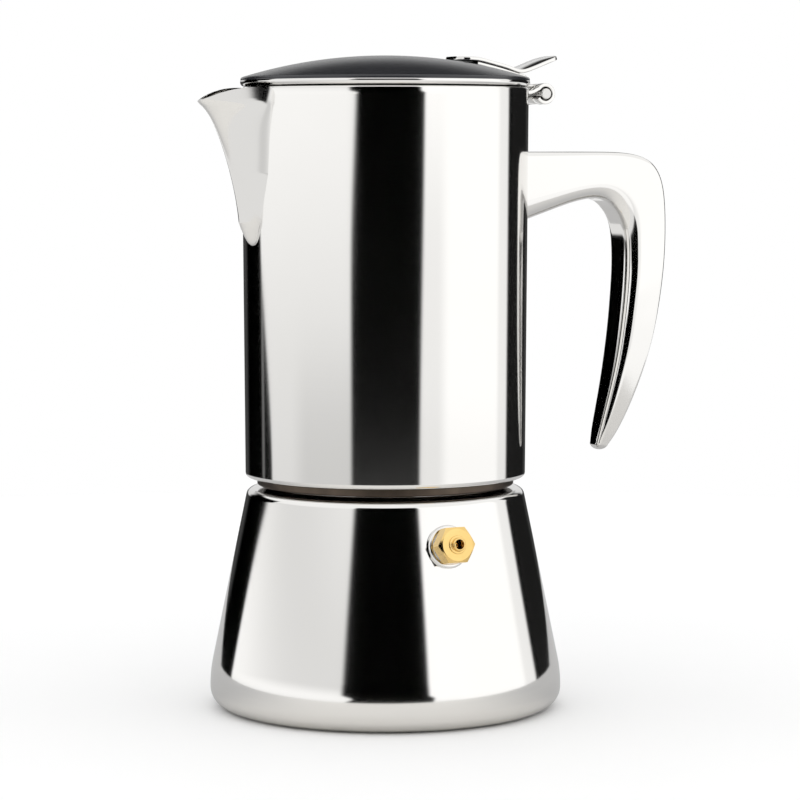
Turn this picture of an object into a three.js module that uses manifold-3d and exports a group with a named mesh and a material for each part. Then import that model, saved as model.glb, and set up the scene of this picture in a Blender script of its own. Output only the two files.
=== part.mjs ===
// Stove-top moka pot in polished steel, as an assembly of its separate pieces.
// Millimetres. +Z is up, the spout points to -X, the handle to +X and the safety valve to -Y.
// The origin is the centre of the base disc's underside, which the pot stands on.

import * as THREE from 'three';
import { mergeVertices } from 'three/addons/utils/BufferGeometryUtils.js';
import Module from 'manifold-3d';

const wasm = await Module();
wasm.setup();

// ---------- driving dimensions ----------

const SEAT_GAP = 0.15;          // between two pieces that rest on each other
const SIDE_GAP = 0.3;           // between a piece and the wall that holds it
const TURNS = 40;               // facets of a large round piece
const FINE_TURNS = 20;          // facets of a small round piece

const BOILER = {
  wall: 1.2,
  slope: 0.206,                 // how far the side leans in, mm for each mm of height
  footRadiusAtZero: 56.6,       // where the straight side would meet the table
  footFillet: 7.6,
  footBottom: 0.3,
  recessRadius: 45.8,
  recessDepth: 2.8,
  floorTop: 4.0,
  shoulderTop: 68,
  shoulderFillet: 2.4,
  neckOuter: 36.6,
  neckInner: 35.4,
  neckTop: 80,
};

const DISC = { radius: 45.5, height: 2.5, chamfer: 0.5 };

const VALVE = {
  height: 54.6,                 // where the valve's axis meets the boiler's side
  bossRadius: 6.5,
  bossNeck: 5.2,
  bossBore: 4.1,
  bossFace: 1.4,
  bossInner: -4,
  washerThick: 0.7,
  acrossFlats: 10.5,
  hexLength: 4.8,
  nozzleRadius: 2.0,
  nozzleLength: 1.5,
  nozzleBore: 1.4,
  shankRadius: 3.85,
  shankInner: -7,
  chamberRadius: 2.6,
  chamberEnd: 5.0,
  pinHead: 2.3,
  pinStem: 0.9,
  pinHeadBack: -5.3,
  pinHeadFront: -3.9,
  pinTip: 5.8,
  springRadius: 1.9,
  springWire: 0.25,
  springCoils: 5,
};

const FUNNEL = {
  rimRadius: 36.3,
  rimThick: 0.9,
  cupRadius: 34.6,
  cupWall: 0.8,
  strainerSeat: 57,
  coneBottom: 49,
  stemOuter: 5.0,
  stemInner: 4.2,
  stemBottom: 8,
  stemTop: 54,
};

const RING = { inner: 29.5, outer: 37.0, thick: 2.6 };
const PLATE = { radius: 35.5, thick: 0.8, holeRadius: 1.0, rowGap: 7.0, rows: 3 };
const STRAINER = { radius: 33.4, thick: 0.8, holeRadius: 1.0, rowGap: 8.0, rows: 3 };

const JUG = {
  wall: 1.0,
  bottom: 71.6,
  bottomFillet: 1.8,
  ledgeInner: 39.9,
  lowRadius: 43.2,
  topRadius: 44.0,
  top: 191,
};

const FLOOR = { wall: 1.0, lipTop: 91, lipOuter: 41.9, flat: 86.5, coneStart: 31, holeRadius: 6.5 };
const COLLAR = { outer: 39.6, inner: 37.6, bottom: 69.2, top: 86.3, ceilingInner: 32 };
const COLUMN = { bottom: 94, top: 160, lowRadius: 6.2, topRadius: 5.4, wall: 1.0 };
const CAP = { outer: 6.7, inner: 5.7, bottom: 156, roof: 164.5, slotWidth: 5, slotBottom: 160.6 };

const SPOUT = {
  sheet: 1.3,
  tipReach: 61.2,
  tipHeight: 186.2,
  apexHeight: 143.2,
  halfWidth: 12.4,
  ridgeRounding: 0.25,          // 0 would make the ridge sharp
  rootFlare: 0.12,              // how much the flanks turn outwards where they meet the wall
  rootBlend: 4.3,               // how far the ridge already stands out just above its apex
  rise: 10.9,                   // how much further it leans out up to the tip
  lip: 2.3,                     // how much the last few millimetres turn out
  rimPower: 2.2,                // how late the rim climbs from the tip to the wall
  notchClearance: 1.0,          // from the beak's inside to the edge of the cut in the wall
};

const HINGE = {
  x: 51.2,
  z: 189.4,
  pinRadius: 1.7,
  pinHalf: 8.4,
  coil: 2.67,                   // middle of the curled sheet
  sheet: 1.17,
  innerHalf: 3.5,               // half width of the lid's knuckle
  outerNear: 3.9,               // from the middle to the near and far side of a jug knuckle
  outerFar: 7.9,
  plateLow: 184.6,
  plateHigh: 190.9,
};

const LID = {
  sheet: 0.8,
  pan: 188.6,
  panRadius: 41.0,
  flange: 191.3,
  rimCentre: 43.1,
  rimRadius: 1.3,
  domeTop: 200.8,
  domeSphere: 148,
  domeEdge: 44.3,
  domeBottom: 193.75,
  domeWall: 2.0,
};

// The strap lies on the dome from its start, and the lever lies on the strap. Heights of the tab are
// from the lever's underside where it leaves the dome.
const STRAP = { sheet: 1.0, start: 28.5, halfWidth: 6.4, neckStart: 45.0, neckEnd: 46.6 };
const LEVER = {
  halfWidth: 7,
  sheet: 1.1,
  start: 22.3,
  tip: 56.8,
  startCorner: 5,
  tipCorner: 3,
  startLift: 0.35,              // above the dome
  tab: [[43.6, 0.1], [46.4, 0.7], [49.4, 1.8], [53, 3.1], [60, 5.4]],
};
const SCREW = { xs: [31.4, 36.8], shank: 1.2, hole: 1.6, head: 2.4, headThick: 1.7, bossRadius: 3.0 };

// ---------- materials ----------

const metal = (color, roughness) => new THREE.MeshStandardMaterial({ color, roughness, metalness: 1 });
const plain = (color, roughness) => new THREE.MeshStandardMaterial({ color, roughness, metalness: 0 });
const POLISHED_STEEL = metal(0xd6d6d4, 0.06);
const SATIN_STEEL = metal(0xb9b9b6, 0.35);
const BRASS = metal(0xe0b84c, 0.15);
const BLACK_PLASTIC = plain(0x1b1c1d, 0.4);
const SILICONE = plain(0xe6e2d8, 0.6);

// ---------- turning geometries into exact solids ----------

function signedVolume(position, index) {
  const a = new THREE.Vector3();
  const b = new THREE.Vector3();
  const c = new THREE.Vector3();
  let sum = 0;
  for (let i = 0; i < index.length; i += 3) {
    a.fromBufferAttribute(position, index[i]);
    b.fromBufferAttribute(position, index[i + 1]);
    c.fromBufferAttribute(position, index[i + 2]);
    sum += a.dot(b.cross(c)) / 6;
  }
  return sum;
}

// A closed geometry as a solid, with its vertices shared and its faces turned outwards.
function solid(geometry) {
  const bare = geometry.clone();
  bare.deleteAttribute('normal');
  bare.deleteAttribute('uv');
  const welded = mergeVertices(bare, 1e-3);
  const position = welded.attributes.position;
  const index = [];
  const raw = welded.index.array;
  for (let i = 0; i < raw.length; i += 3) {
    const [a, b, c] = [raw[i], raw[i + 1], raw[i + 2]];
    if (a !== b && b !== c && c !== a) index.push(a, b, c);
  }
  if (signedVolume(position, index) < 0) index.reverse();
  return new wasm.Manifold(new wasm.Mesh({
    numProp: 3,
    vertProperties: new Float32Array(position.array),
    triVerts: new Uint32Array(index),
  }));
}

function toGeometry(manifold) {
  const mesh = manifold.getMesh();
  const geometry = new THREE.BufferGeometry();
  geometry.setAttribute('position', new THREE.BufferAttribute(mesh.vertProperties, 3));
  geometry.setIndex(new THREE.BufferAttribute(mesh.triVerts, 1));
  geometry.computeVertexNormals();
  return geometry;
}

function part(name, manifold, material) {
  const mesh = new THREE.Mesh(toGeometry(manifold), material);
  mesh.name = name;
  return mesh;
}

// ---------- outlines ----------

const radians = THREE.MathUtils.degToRad;

function arc(centreX, centreY, radius, fromDeg, toDeg, steps) {
  const points = [];
  for (let i = 0; i <= steps; i += 1) {
    const angle = radians(fromDeg + ((toDeg - fromDeg) * i) / steps);
    points.push([centreX + radius * Math.cos(angle), centreY + radius * Math.sin(angle)]);
  }
  return points;
}

// A line moved sideways by a distance, to the left of its direction of travel.
function offsetLine(points, distance) {
  const unit = (p, q) => {
    const length = Math.hypot(q[0] - p[0], q[1] - p[1]);
    return [(q[0] - p[0]) / length, (q[1] - p[1]) / length];
  };
  return points.map((point, i) => {
    const before = unit(points[Math.max(i - 1, 0)], points[Math.max(i, 1)]);
    const after = unit(points[Math.min(i, points.length - 2)], points[Math.min(i + 1, points.length - 1)]);
    const normal = [-(before[1] + after[1]), before[0] + after[0]];
    const scale = distance / (1 + before[0] * after[0] + before[1] * after[1]);
    return [point[0] + normal[0] * scale, point[1] + normal[1] * scale];
  });
}

// A sheet of even thickness that follows a line.
function sheet(line, thickness) {
  return [...line, ...offsetLine(line, thickness).reverse()];
}

// A profile of [radius, height] turned round the Z axis. It closes on itself.
function lathe(profile, turns = TURNS) {
  const points = profile.map(([r, z]) => new THREE.Vector2(Math.max(r, 0), z));
  points.push(points[0].clone());
  return solid(new THREE.LatheGeometry(points, turns).rotateX(Math.PI / 2));
}

const ring = (inner, outer, low, high, turns = TURNS) => lathe(
  [[inner, low], [outer, low], [outer, high], [inner, high]], turns);

function extrude(outline, depth, options = {}) {
  const shape = new THREE.Shape(outline.map(([x, y]) => new THREE.Vector2(x, y)));
  return new THREE.ExtrudeGeometry(shape, { depth, bevelEnabled: false, ...options });
}

// An outline of [x, z] given a width along Y, from one side to the other.
function slab(outline, fromY, toY) {
  return solid(extrude(outline, toY - fromY).rotateX(Math.PI / 2).translate(0, toY, 0));
}

// An outline of [x, y] given a height.
const prism = (outline, low, high) => solid(extrude(outline, high - low).translate(0, 0, low));

function circle(radius, steps, x = 0, y = 0) {
  return arc(x, y, radius, 0, 360, steps).slice(0, -1);
}

function smooth(points, steps) {
  const curve = new THREE.SplineCurve(points.map((point) => new THREE.Vector2(...point)));
  return curve.getPoints(steps).map((p) => [p.x, p.y]);
}

// ---------- boiler ----------

const LEAN = Math.atan(BOILER.slope);
const boilerRadius = (z) => BOILER.footRadiusAtZero - BOILER.slope * z;

// The centre of an arc of this radius, at this height, that touches the boiler's straight side.
function filletCentre(radius, z) {
  return boilerRadius(z) - radius / Math.cos(LEAN);
}

function boilerShell() {
  const b = BOILER;
  const lean = THREE.MathUtils.radToDeg(LEAN);
  const footZ = b.footBottom + b.footFillet;
  const footX = filletCentre(b.footFillet, footZ);
  const topZ = b.shoulderTop - b.shoulderFillet;
  const topX = filletCentre(b.shoulderFillet, topZ);
  const innerFoot = b.footFillet - b.wall;
  const innerTop = b.shoulderFillet - b.wall;
  const floorAngle = THREE.MathUtils.radToDeg(Math.asin((b.floorTop - footZ) / innerFoot));
  const profile = [
    [0, b.recessDepth],
    [b.recessRadius, b.recessDepth],
    [b.recessRadius, b.footBottom],
    ...arc(footX, footZ, b.footFillet, -90, lean, 7),
    ...arc(topX, topZ, b.shoulderFillet, lean, 90, 4),
    [b.neckOuter + 1, b.shoulderTop],
    [b.neckOuter, b.shoulderTop + 1],
    [b.neckOuter, b.neckTop],
    [b.neckInner, b.neckTop],
    [b.neckInner, b.shoulderTop - b.wall],
    ...arc(topX, topZ, innerTop, 90, lean, 3),
    ...arc(footX, footZ, innerFoot, lean, floorAngle, 4),
    [0, b.floorTop],
  ];
  const valveHole = atValve(lathe(
    [[0, -12], [VALVE.bossNeck + SIDE_GAP, -12], [VALVE.bossNeck + SIDE_GAP, 12], [0, 12]], FINE_TURNS));
  return lathe(profile).subtract(valveHole);
}

function baseDisc() {
  const d = DISC;
  return lathe([
    [0, 0],
    [d.radius - d.chamfer, 0],
    [d.radius, d.chamfer],
    [d.radius, d.height],
    [0, d.height],
  ]);
}

// ---------- safety valve ----------

// Moves a solid made on the Z axis, with z = 0 at the boiler's side, to the valve's place.
function atValve(manifold) {
  const geometry = toGeometry(manifold);
  geometry.rotateX(Math.PI / 2 - LEAN);
  geometry.translate(0, -boilerRadius(VALVE.height), VALVE.height);
  return solid(geometry);
}

const onBossFace = VALVE.bossFace + SEAT_GAP;
const hexBack = onBossFace + VALVE.washerThick + SEAT_GAP;
const hexFront = hexBack + VALVE.hexLength;

function valveBoss() {
  const v = VALVE;
  const boss = lathe([
    [v.bossBore, v.bossInner],
    [v.bossNeck, v.bossInner],
    [v.bossNeck, -1],
    [v.bossRadius, -1],
    [v.bossRadius, v.bossFace - 0.4],
    [v.bossRadius - 0.4, v.bossFace],
    [v.bossBore, v.bossFace],
  ], FINE_TURNS);
  const radius = boilerRadius(VALVE.height);
  const reach = 14;
  const side = [
    [radius - v.bossNeck, VALVE.height - reach],
    [boilerRadius(VALVE.height - reach) + SEAT_GAP, VALVE.height - reach],
    [boilerRadius(VALVE.height + reach) + SEAT_GAP, VALVE.height + reach],
    [radius - v.bossNeck, VALVE.height + reach],
  ];
  const flangeOnly = atValve(ring(v.bossNeck, v.bossRadius + 1, -6, v.bossFace + 1, FINE_TURNS));
  return atValve(boss).subtract(lathe(side).intersect(flangeOnly));
}

function valveWasher() {
  return atValve(ring(VALVE.bossBore, 5.1, onBossFace, onBossFace + VALVE.washerThick, FINE_TURNS));
}

function valveBody() {
  const v = VALVE;
  const cornerRadius = v.acrossFlats / 2 / Math.cos(Math.PI / 6);
  const hexagon = prism(circle(cornerRadius, 6), hexBack, hexFront);
  const chamfer = lathe([
    [0, hexBack],
    [cornerRadius - 0.4, hexBack],
    [cornerRadius, hexBack + 0.4],
    [cornerRadius, hexFront - 0.6],
    [cornerRadius - 1.1, hexFront],
    [0, hexFront],
  ], FINE_TURNS);
  const stem = lathe([
    [0, v.shankInner],
    [v.shankRadius, v.shankInner],
    [v.shankRadius, hexBack + 1],
    [v.nozzleRadius, hexBack + 1],
    [v.nozzleRadius, hexFront + v.nozzleLength - 0.3],
    [v.nozzleRadius - 0.3, hexFront + v.nozzleLength],
    [0, hexFront + v.nozzleLength],
  ], FINE_TURNS);
  const bore = lathe([
    [0, v.shankInner - 1],
    [v.chamberRadius, v.shankInner - 1],
    [v.chamberRadius, v.chamberEnd],
    [v.nozzleBore, v.chamberEnd],
    [v.nozzleBore, hexFront + v.nozzleLength + 1],
    [0, hexFront + v.nozzleLength + 1],
  ], FINE_TURNS);
  return atValve(hexagon.intersect(chamfer).add(stem).subtract(bore));
}

function valvePin() {
  const v = VALVE;
  return atValve(lathe([
    [0, v.pinHeadBack - 1.2],
    [0.6, v.pinHeadBack - 0.9],
    [1.2, v.pinHeadBack],
    [v.pinHead, v.pinHeadBack],
    [v.pinHead, v.pinHeadFront],
    [v.pinStem, v.pinHeadFront],
    [v.pinStem, v.pinTip],
    [0, v.pinTip],
  ], FINE_TURNS));
}

class Coil extends THREE.Curve {
  constructor(radius, low, high, turns) {
    super();
    Object.assign(this, { radius, low, high, turns });
  }

  getPoint(t, target = new THREE.Vector3()) {
    const angle = 2 * Math.PI * this.turns * t;
    const height = this.low + (this.high - this.low) * t;
    return target.set(this.radius * Math.cos(angle), this.radius * Math.sin(angle), height);
  }
}

function valveSpring() {
  const v = VALVE;
  const low = v.pinHeadFront + SEAT_GAP + v.springWire;
  const high = v.chamberEnd - SEAT_GAP - v.springWire;
  const coil = new Coil(v.springRadius, low, high, v.springCoils);
  const wire = extrude(circle(v.springWire, 6), 1, { steps: v.springCoils * 12, extrudePath: coil });
  return atValve(solid(wire));
}

function valveRetainer() {
  const v = VALVE;
  return atValve(ring(1.5, v.chamberRadius - SEAT_GAP, v.shankInner, v.pinHeadBack - SEAT_GAP, FINE_TURNS));
}

// ---------- funnel ----------

const rimBottom = BOILER.neckTop + SEAT_GAP;
const rimTop = rimBottom + FUNNEL.rimThick;

function coffeeBasket() {
  const f = FUNNEL;
  const stemHole = f.stemOuter + SEAT_GAP;
  return lathe([
    [stemHole, f.coneBottom],
    [stemHole + 1, f.coneBottom],
    [f.cupRadius - 1, f.strainerSeat - f.cupWall],
    [f.cupRadius, f.strainerSeat + 0.4],
    [f.cupRadius, rimBottom],
    [f.rimRadius, rimBottom],
    [f.rimRadius, rimTop],
    [f.cupRadius - f.cupWall, rimTop],
    [f.cupRadius - f.cupWall, f.strainerSeat + 0.6],
    [f.cupRadius - f.cupWall - 1.4, f.strainerSeat],
    [stemHole + 1, f.coneBottom + f.cupWall],
    [stemHole, f.coneBottom + f.cupWall],
  ]);
}

function funnelStem() {
  const f = FUNNEL;
  return ring(f.stemInner, f.stemOuter, f.stemBottom, f.stemTop, FINE_TURNS);
}

// A round plate with rings of holes.
function perforatedPlate(radius, low, high, holeRadius, rowGap, rows) {
  const shape = new THREE.Shape(circle(radius, TURNS).map(([x, y]) => new THREE.Vector2(x, y)));
  for (let row = 0; row <= rows; row += 1) {
    const count = Math.max(1, row * 6);
    for (let i = 0; i < count; i += 1) {
      const angle = (2 * Math.PI * i) / count;
      const x = row * rowGap * Math.cos(angle);
      const y = row * rowGap * Math.sin(angle);
      const hole = circle(holeRadius, 6, x, y).map(([u, v]) => new THREE.Vector2(u, v));
      shape.holes.push(new THREE.Path(hole));
    }
  }
  const plate = new THREE.ExtrudeGeometry(shape, { depth: high - low, bevelEnabled: false });
  return solid(plate.translate(0, 0, low));
}

function basketStrainer() {
  const low = FUNNEL.strainerSeat + 0.6 + SEAT_GAP;
  const s = STRAINER;
  return perforatedPlate(s.radius, low, low + s.thick, s.holeRadius, s.rowGap, s.rows);
}

// ---------- seal and filter ----------

const ringBottom = rimTop + SEAT_GAP;
const ringTop = ringBottom + RING.thick;
const plateBottom = ringTop + SEAT_GAP;
const plateTop = plateBottom + PLATE.thick;

const sealingRing = () => ring(RING.inner, RING.outer, ringBottom, ringTop);

function filterPlate() {
  const p = PLATE;
  return perforatedPlate(p.radius, plateBottom, plateTop, p.holeRadius, p.rowGap, p.rows);
}

// ---------- jug ----------

function jugOuterLine() {
  const j = JUG;
  const centreX = j.lowRadius - j.bottomFillet;
  return [
    [j.ledgeInner, j.bottom],
    ...arc(centreX, j.bottom + j.bottomFillet, j.bottomFillet, -90, 0, 5),
    [j.topRadius, j.top],
  ];
}

const jugRadius = (z) => {
  const low = JUG.bottom + JUG.bottomFillet;
  return JUG.lowRadius + ((JUG.topRadius - JUG.lowRadius) * (z - low)) / (JUG.top - low);
};

// The space inside the jug's outer surface, with a seat's gap, for cutting what is welded to it.
const jugCore = (low, high) => lathe(
  [[0, low], [jugRadius(low) + SEAT_GAP, low], [jugRadius(high) + SEAT_GAP, high], [0, high]]);

// How far the spout's ridge stands from the pot's axis, and how wide its root is, with height.
const spoutShare = (z) => THREE.MathUtils.clamp(
  (z - SPOUT.apexHeight) / (SPOUT.tipHeight - SPOUT.apexHeight), 0, 1.2);

function spoutReach(z) {
  const t = spoutShare(z);
  const foot = SPOUT.rootBlend * Math.sqrt(Math.min(t / 0.16, 1));
  const climb = Math.max(t - 0.05, 0) / 0.95;
  return JUG.topRadius - 0.3 + foot + SPOUT.rise * climb ** 1.8 + SPOUT.lip * Math.min(climb, 1) ** 16;
}

const spoutHalfWidth = (z) => SPOUT.halfWidth * Math.min(1, spoutShare(z) / 0.5) ** 0.5
  * (0.86 + 0.14 * spoutShare(z));

// The half width of a section as a share of its root's: u is 0 on the ridge and 1 at the wall.
function spoutFlank(u) {
  const rounding = 2 * SPOUT.ridgeRounding;
  const body = Math.sqrt((u * u + rounding * u) / (1 + rounding));
  return (1 - SPOUT.rootFlare) * body + SPOUT.rootFlare * u ** 6;
}

// A tapering beak built from V-shaped sections, each a little smaller by the inset.
function beak(inset, low, high, sections, steps) {
  const root = JUG.lowRadius - 5;
  const rings = [];
  for (let k = 0; k <= sections; k += 1) {
    const z = low + ((high - low) * k) / sections;
    const half = Math.max(spoutHalfWidth(z) - inset, 0.4);
    const reach = Math.max(spoutReach(z) - inset * 1.25, root + 1.5);
    const wall = jugRadius(z) - 0.6;
    const ring = [[-root, -half, z], [-root, half, z]];
    for (let i = 0; i <= steps; i += 1) {
      const angle = Math.PI * (i / steps);
      const share = Math.sin(angle);
      const depth = wall + (Math.max(reach, wall + 0.2) - wall) * share;
      const width = half * Math.sign(Math.cos(angle)) * spoutFlank(1 - share);
      ring.push([-depth, i * 2 === steps ? 0 : width, z]);
    }
    rings.push(ring);
  }
  return loft(rings, ([x, y]) => [x, y]);
}

// Joins equal rings of points into a closed solid. Each end is filled in as it looks when flattened.
function loft(rings, flatten) {
  const size = rings[0].length;
  const index = [];
  for (let k = 0; k < rings.length - 1; k += 1) {
    for (let i = 0; i < size; i += 1) {
      const a = k * size + i;
      const b = k * size + ((i + 1) % size);
      index.push(a, b, b + size, a, b + size, a + size);
    }
  }
  for (const level of [0, rings.length - 1]) {
    const flat = rings[level].map((point) => new THREE.Vector2(...flatten(point)));
    const turned = THREE.ShapeUtils.isClockWise(flat) !== (level === 0);
    for (const corners of THREE.ShapeUtils.triangulateShape(flat, [])) {
      const face = corners.map((i) => i + level * size);
      index.push(...(turned ? face.reverse() : face));
    }
  }
  const geometry = new THREE.BufferGeometry();
  geometry.setAttribute('position', new THREE.Float32BufferAttribute(rings.flat(2), 3));
  geometry.setIndex(index);
  return solid(geometry);
}

const spoutNotch = () => beak(
  SPOUT.sheet + SPOUT.notchClearance, SPOUT.apexHeight + 6, JUG.top + 2, 10, 8);

function jugWall() {
  return lathe(sheet(jugOuterLine(), JUG.wall)).subtract(spoutNotch());
}

// Everything above the beak's rim, which climbs from the tip to the wall.
function aboveSpoutRim() {
  const steps = 6;
  const front = SPOUT.tipReach + 0.6;
  const end = JUG.top - 0.2;
  const rimLine = [];
  for (let i = 0; i <= steps; i += 1) {
    const t = i / steps;
    const climb = 1 - (1 - t) ** SPOUT.rimPower;
    rimLine.push([-front + (front - JUG.topRadius) * t, SPOUT.tipHeight + (end - SPOUT.tipHeight) * climb]);
  }
  const [back, far, high] = [-30, -80, 230];
  return slab([[far, high], [far, SPOUT.tipHeight], ...rimLine, [back, end], [back, high]], -30, 30);
}

function spout() {
  const s = SPOUT;
  const top = JUG.top + 1;
  const outer = beak(0, s.apexHeight, top, 14, 12);
  const inner = beak(s.sheet, s.apexHeight + 2.5, top + 1, 14, 12);
  const jug = jugCore(s.apexHeight - 20, top + 5);
  return outer.subtract(inner).subtract(jug).subtract(aboveSpoutRim());
}

function jugFloor() {
  const f = FLOOR;
  const coneTop = COLUMN.bottom + 2;
  return lathe(sheet([
    [f.holeRadius, coneTop + 2],
    [f.holeRadius, coneTop],
    [f.coneStart, f.flat],
    [f.lipOuter - 1.5, f.flat],
    [f.lipOuter, f.flat + 1.5],
    [f.lipOuter, f.lipTop],
  ], f.wall));
}

function threadCollar() {
  const c = COLLAR;
  const ceiling = plateTop + SEAT_GAP;
  return lathe([
    [c.inner, c.bottom],
    [c.outer, c.bottom],
    [c.outer, c.top],
    [c.ceilingInner, c.top],
    [c.ceilingInner, ceiling],
    [c.inner, ceiling],
  ]);
}

function coffeeColumn() {
  const c = COLUMN;
  return lathe([
    [c.lowRadius - c.wall, c.bottom],
    [c.lowRadius, c.bottom],
    [c.topRadius, c.top],
    [c.topRadius - c.wall, c.top],
  ], FINE_TURNS);
}

function columnCap() {
  const c = CAP;
  const shell = lathe([
    [c.inner, c.bottom],
    [c.outer, c.bottom],
    [c.outer, c.roof - 0.5],
    ...arc(c.outer - 2.4, c.roof - 0.5, 2.4, 20, 90, 3),
    [0, c.roof + 2.4],
    [0, c.roof],
    [c.inner, c.roof],
  ], FINE_TURNS);
  const half = c.slotWidth / 2;
  const slots = prism([[-20, -half], [20, -half], [20, half], [-20, half]], c.slotBottom, c.roof - 0.3);
  return shell.subtract(slots);
}

// ---------- handle ----------

// The hook, from its root to its tip: the outer edge, the inner edge facing it, and the half width.
const HANDLE_STATIONS = [
  [[38, 171.4], [38, 147.5], 7.5],
  [[46, 171.4], [46, 150.2], 7.5],
  [[56, 171.4], [55, 153.2], 7.5],
  [[66, 171.4], [63.6, 155.8], 7.5],
  [[75.6, 171.3], [71, 156.7], 7.5],
  [[83, 170.6], [75.6, 155], 7.5],
  [[89, 168.4], [78.9, 151.2], 7.5],
  [[92.6, 164], [80.6, 146.5], 7.5],
  [[94.3, 157], [81.2, 140.5], 7.5],
  [[94.8, 147], [81.2, 134], 7.4],
  [[94.4, 136], [80.7, 126], 7.3],
  [[93.0, 124], [79.8, 117], 7.0],
  [[90.5, 111.5], [78.4, 107], 6.6],
  [[87.0, 100], [76.7, 98], 5.8],
  [[82.7, 89.5], [74.8, 89.5], 4.9],
  [[78.8, 82], [73.3, 83], 4.0],
  [[76.4, 78.4], [72.6, 79.2], 3.2],
  [[74.6, 77.0], [73.4, 77.3], 1.8],
];

// The section's corners, as a share of its depth from the outer edge and of its half width.
const HANDLE_SECTION = [
  [0, 0.78], [0.1, 1], [0.7, 1], [1, 0.58], [1, -0.58], [0.7, -1], [0.1, -1], [0, -0.78],
];

function handle() {
  const steps = 40;
  const outside = smooth(HANDLE_STATIONS.map(([outer]) => outer), steps);
  const inside = smooth(HANDLE_STATIONS.map(([, inner]) => inner), steps);
  const halves = smooth(HANDLE_STATIONS.map(([, , half], i) => [i, half]), steps).map(([, half]) => half);
  const rings = outside.map(([x, z], i) => HANDLE_SECTION.map(([depth, side]) => [
    x + (inside[i][0] - x) * depth,
    halves[i] * side,
    z + (inside[i][1] - z) * depth,
  ]));
  const jug = jugCore(130, 185);
  return loft(rings, ([x, y, z]) => [y, z - x]).subtract(jug);
}

// ---------- hinge ----------

function curl(fromDeg, toDeg) {
  return arc(HINGE.x, HINGE.z, HINGE.coil, fromDeg, toDeg, 12);
}

function hingeBracket() {
  const h = HINGE;
  const inner = JUG.topRadius + SEAT_GAP;
  const wrap = ring(inner, inner + h.sheet, h.plateLow, h.plateHigh);
  const window = slab([[30, 180], [60, 180], [60, 200], [30, 200]], -h.outerFar, h.outerFar);
  const armRoot = [[inner + 0.1, h.z + 0.6], [inner + 1.8, h.z + 0.4], [h.x - 3.3, h.z + 1.2]];
  const armLine = [...armRoot, ...curl(150, -150)];
  const arm = sheet(offsetLine(armLine, h.sheet / 2), -h.sheet);
  const farArm = slab(arm, h.outerNear, h.outerFar);
  const nearArm = slab(arm, -h.outerFar, -h.outerNear);
  return wrap.intersect(window).add(farArm).add(nearArm);
}

function hingePin() {
  const h = HINGE;
  const along = lathe([
    [0, -h.pinHalf],
    [h.pinRadius - 0.3, -h.pinHalf],
    [h.pinRadius, -h.pinHalf + 0.3],
    [h.pinRadius, h.pinHalf - 0.3],
    [h.pinRadius - 0.3, h.pinHalf],
    [0, h.pinHalf],
  ], FINE_TURNS);
  return solid(toGeometry(along).rotateX(Math.PI / 2).translate(h.x, 0, h.z));
}

// ---------- lid ----------

const domeHeight = (x) => LID.domeTop - LID.domeSphere + Math.sqrt(LID.domeSphere ** 2 - x ** 2);

function screwHoles(radius) {
  const holes = SCREW.xs.map((x) => prism(circle(radius, 12, x, 0), LID.pan - 5, LID.domeTop + 5));
  return holes.reduce((sum, hole) => sum.add(hole));
}

function lidDisc() {
  const l = LID;
  const line = [
    [0, l.pan],
    [l.panRadius - 0.4, l.pan],
    [l.panRadius, l.pan + 0.4],
    [l.panRadius, l.flange],
    ...arc(l.rimCentre, l.flange + l.rimRadius, l.rimRadius, -90, 50, 6),
  ];
  return lathe(sheet(line, l.sheet)).subtract(screwHoles(SCREW.hole));
}

function domeLine(drop, fromX, toX, steps) {
  const points = [];
  for (let i = 0; i <= steps; i += 1) {
    const x = fromX + ((toX - fromX) * i) / steps;
    points.push([x, domeHeight(x) - drop]);
  }
  return points;
}

function lidDome() {
  const l = LID;
  const shell = lathe([
    ...domeLine(0, 0, 42.8, 8),
    [l.domeEdge - 0.4, 194.3],
    [l.domeEdge, 193.95],
    [l.domeEdge - 0.2, l.domeBottom],
    [39.0, l.domeBottom],
    ...domeLine(l.domeWall, 38.6, 0, 6),
  ]);
  const bossLow = l.pan + l.sheet + SEAT_GAP;
  const bosses = SCREW.xs.map((x) => prism(circle(SCREW.bossRadius, 12, x, 0), bossLow, domeHeight(x) - 1));
  return bosses.reduce((sum, boss) => sum.add(boss), shell).subtract(screwHoles(SCREW.hole));
}

function hingeStrap() {
  const [h, s] = [HINGE, STRAP];
  const overDome = domeLine(-SEAT_GAP, s.start, 42.8, 6);
  const overEdge = [[44.8, 194.4], [45.6, 193.3], [46.6, 192.3], [48.6, 191.8]];
  const shrink = 1 - s.sheet / 2 / h.coil;
  const round = curl(100, -170).map(([x, z]) => [h.x + (x - h.x) * shrink, h.z + (z - h.z) * shrink]);
  const strip = slab(sheet([...overDome, ...overEdge, ...round], s.sheet), -s.halfWidth, s.halfWidth);
  const [back, end] = [s.start - 5, h.x + 9];
  const plan = prism([
    [back, -s.halfWidth], [s.neckStart, -s.halfWidth], [s.neckEnd, -h.innerHalf], [end, -h.innerHalf],
    [end, h.innerHalf], [s.neckEnd, h.innerHalf], [s.neckStart, s.halfWidth], [back, s.halfWidth],
  ], LID.pan - 20, LID.domeTop + 5);
  return strip.intersect(plan).subtract(screwHoles(SCREW.shank + 0.15));
}

function leverPlan(l) {
  const [half, front, back] = [l.halfWidth, l.startCorner, l.tipCorner];
  return [
    ...arc(l.tip - back, half - back, back, 90, 0, 5),
    ...arc(l.tip - back, -half + back, back, 0, -90, 5),
    ...arc(l.start + front, -half + front, front, -90, -180, 5),
    ...arc(l.start + front, half - front, front, 180, 90, 5),
  ];
}

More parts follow.
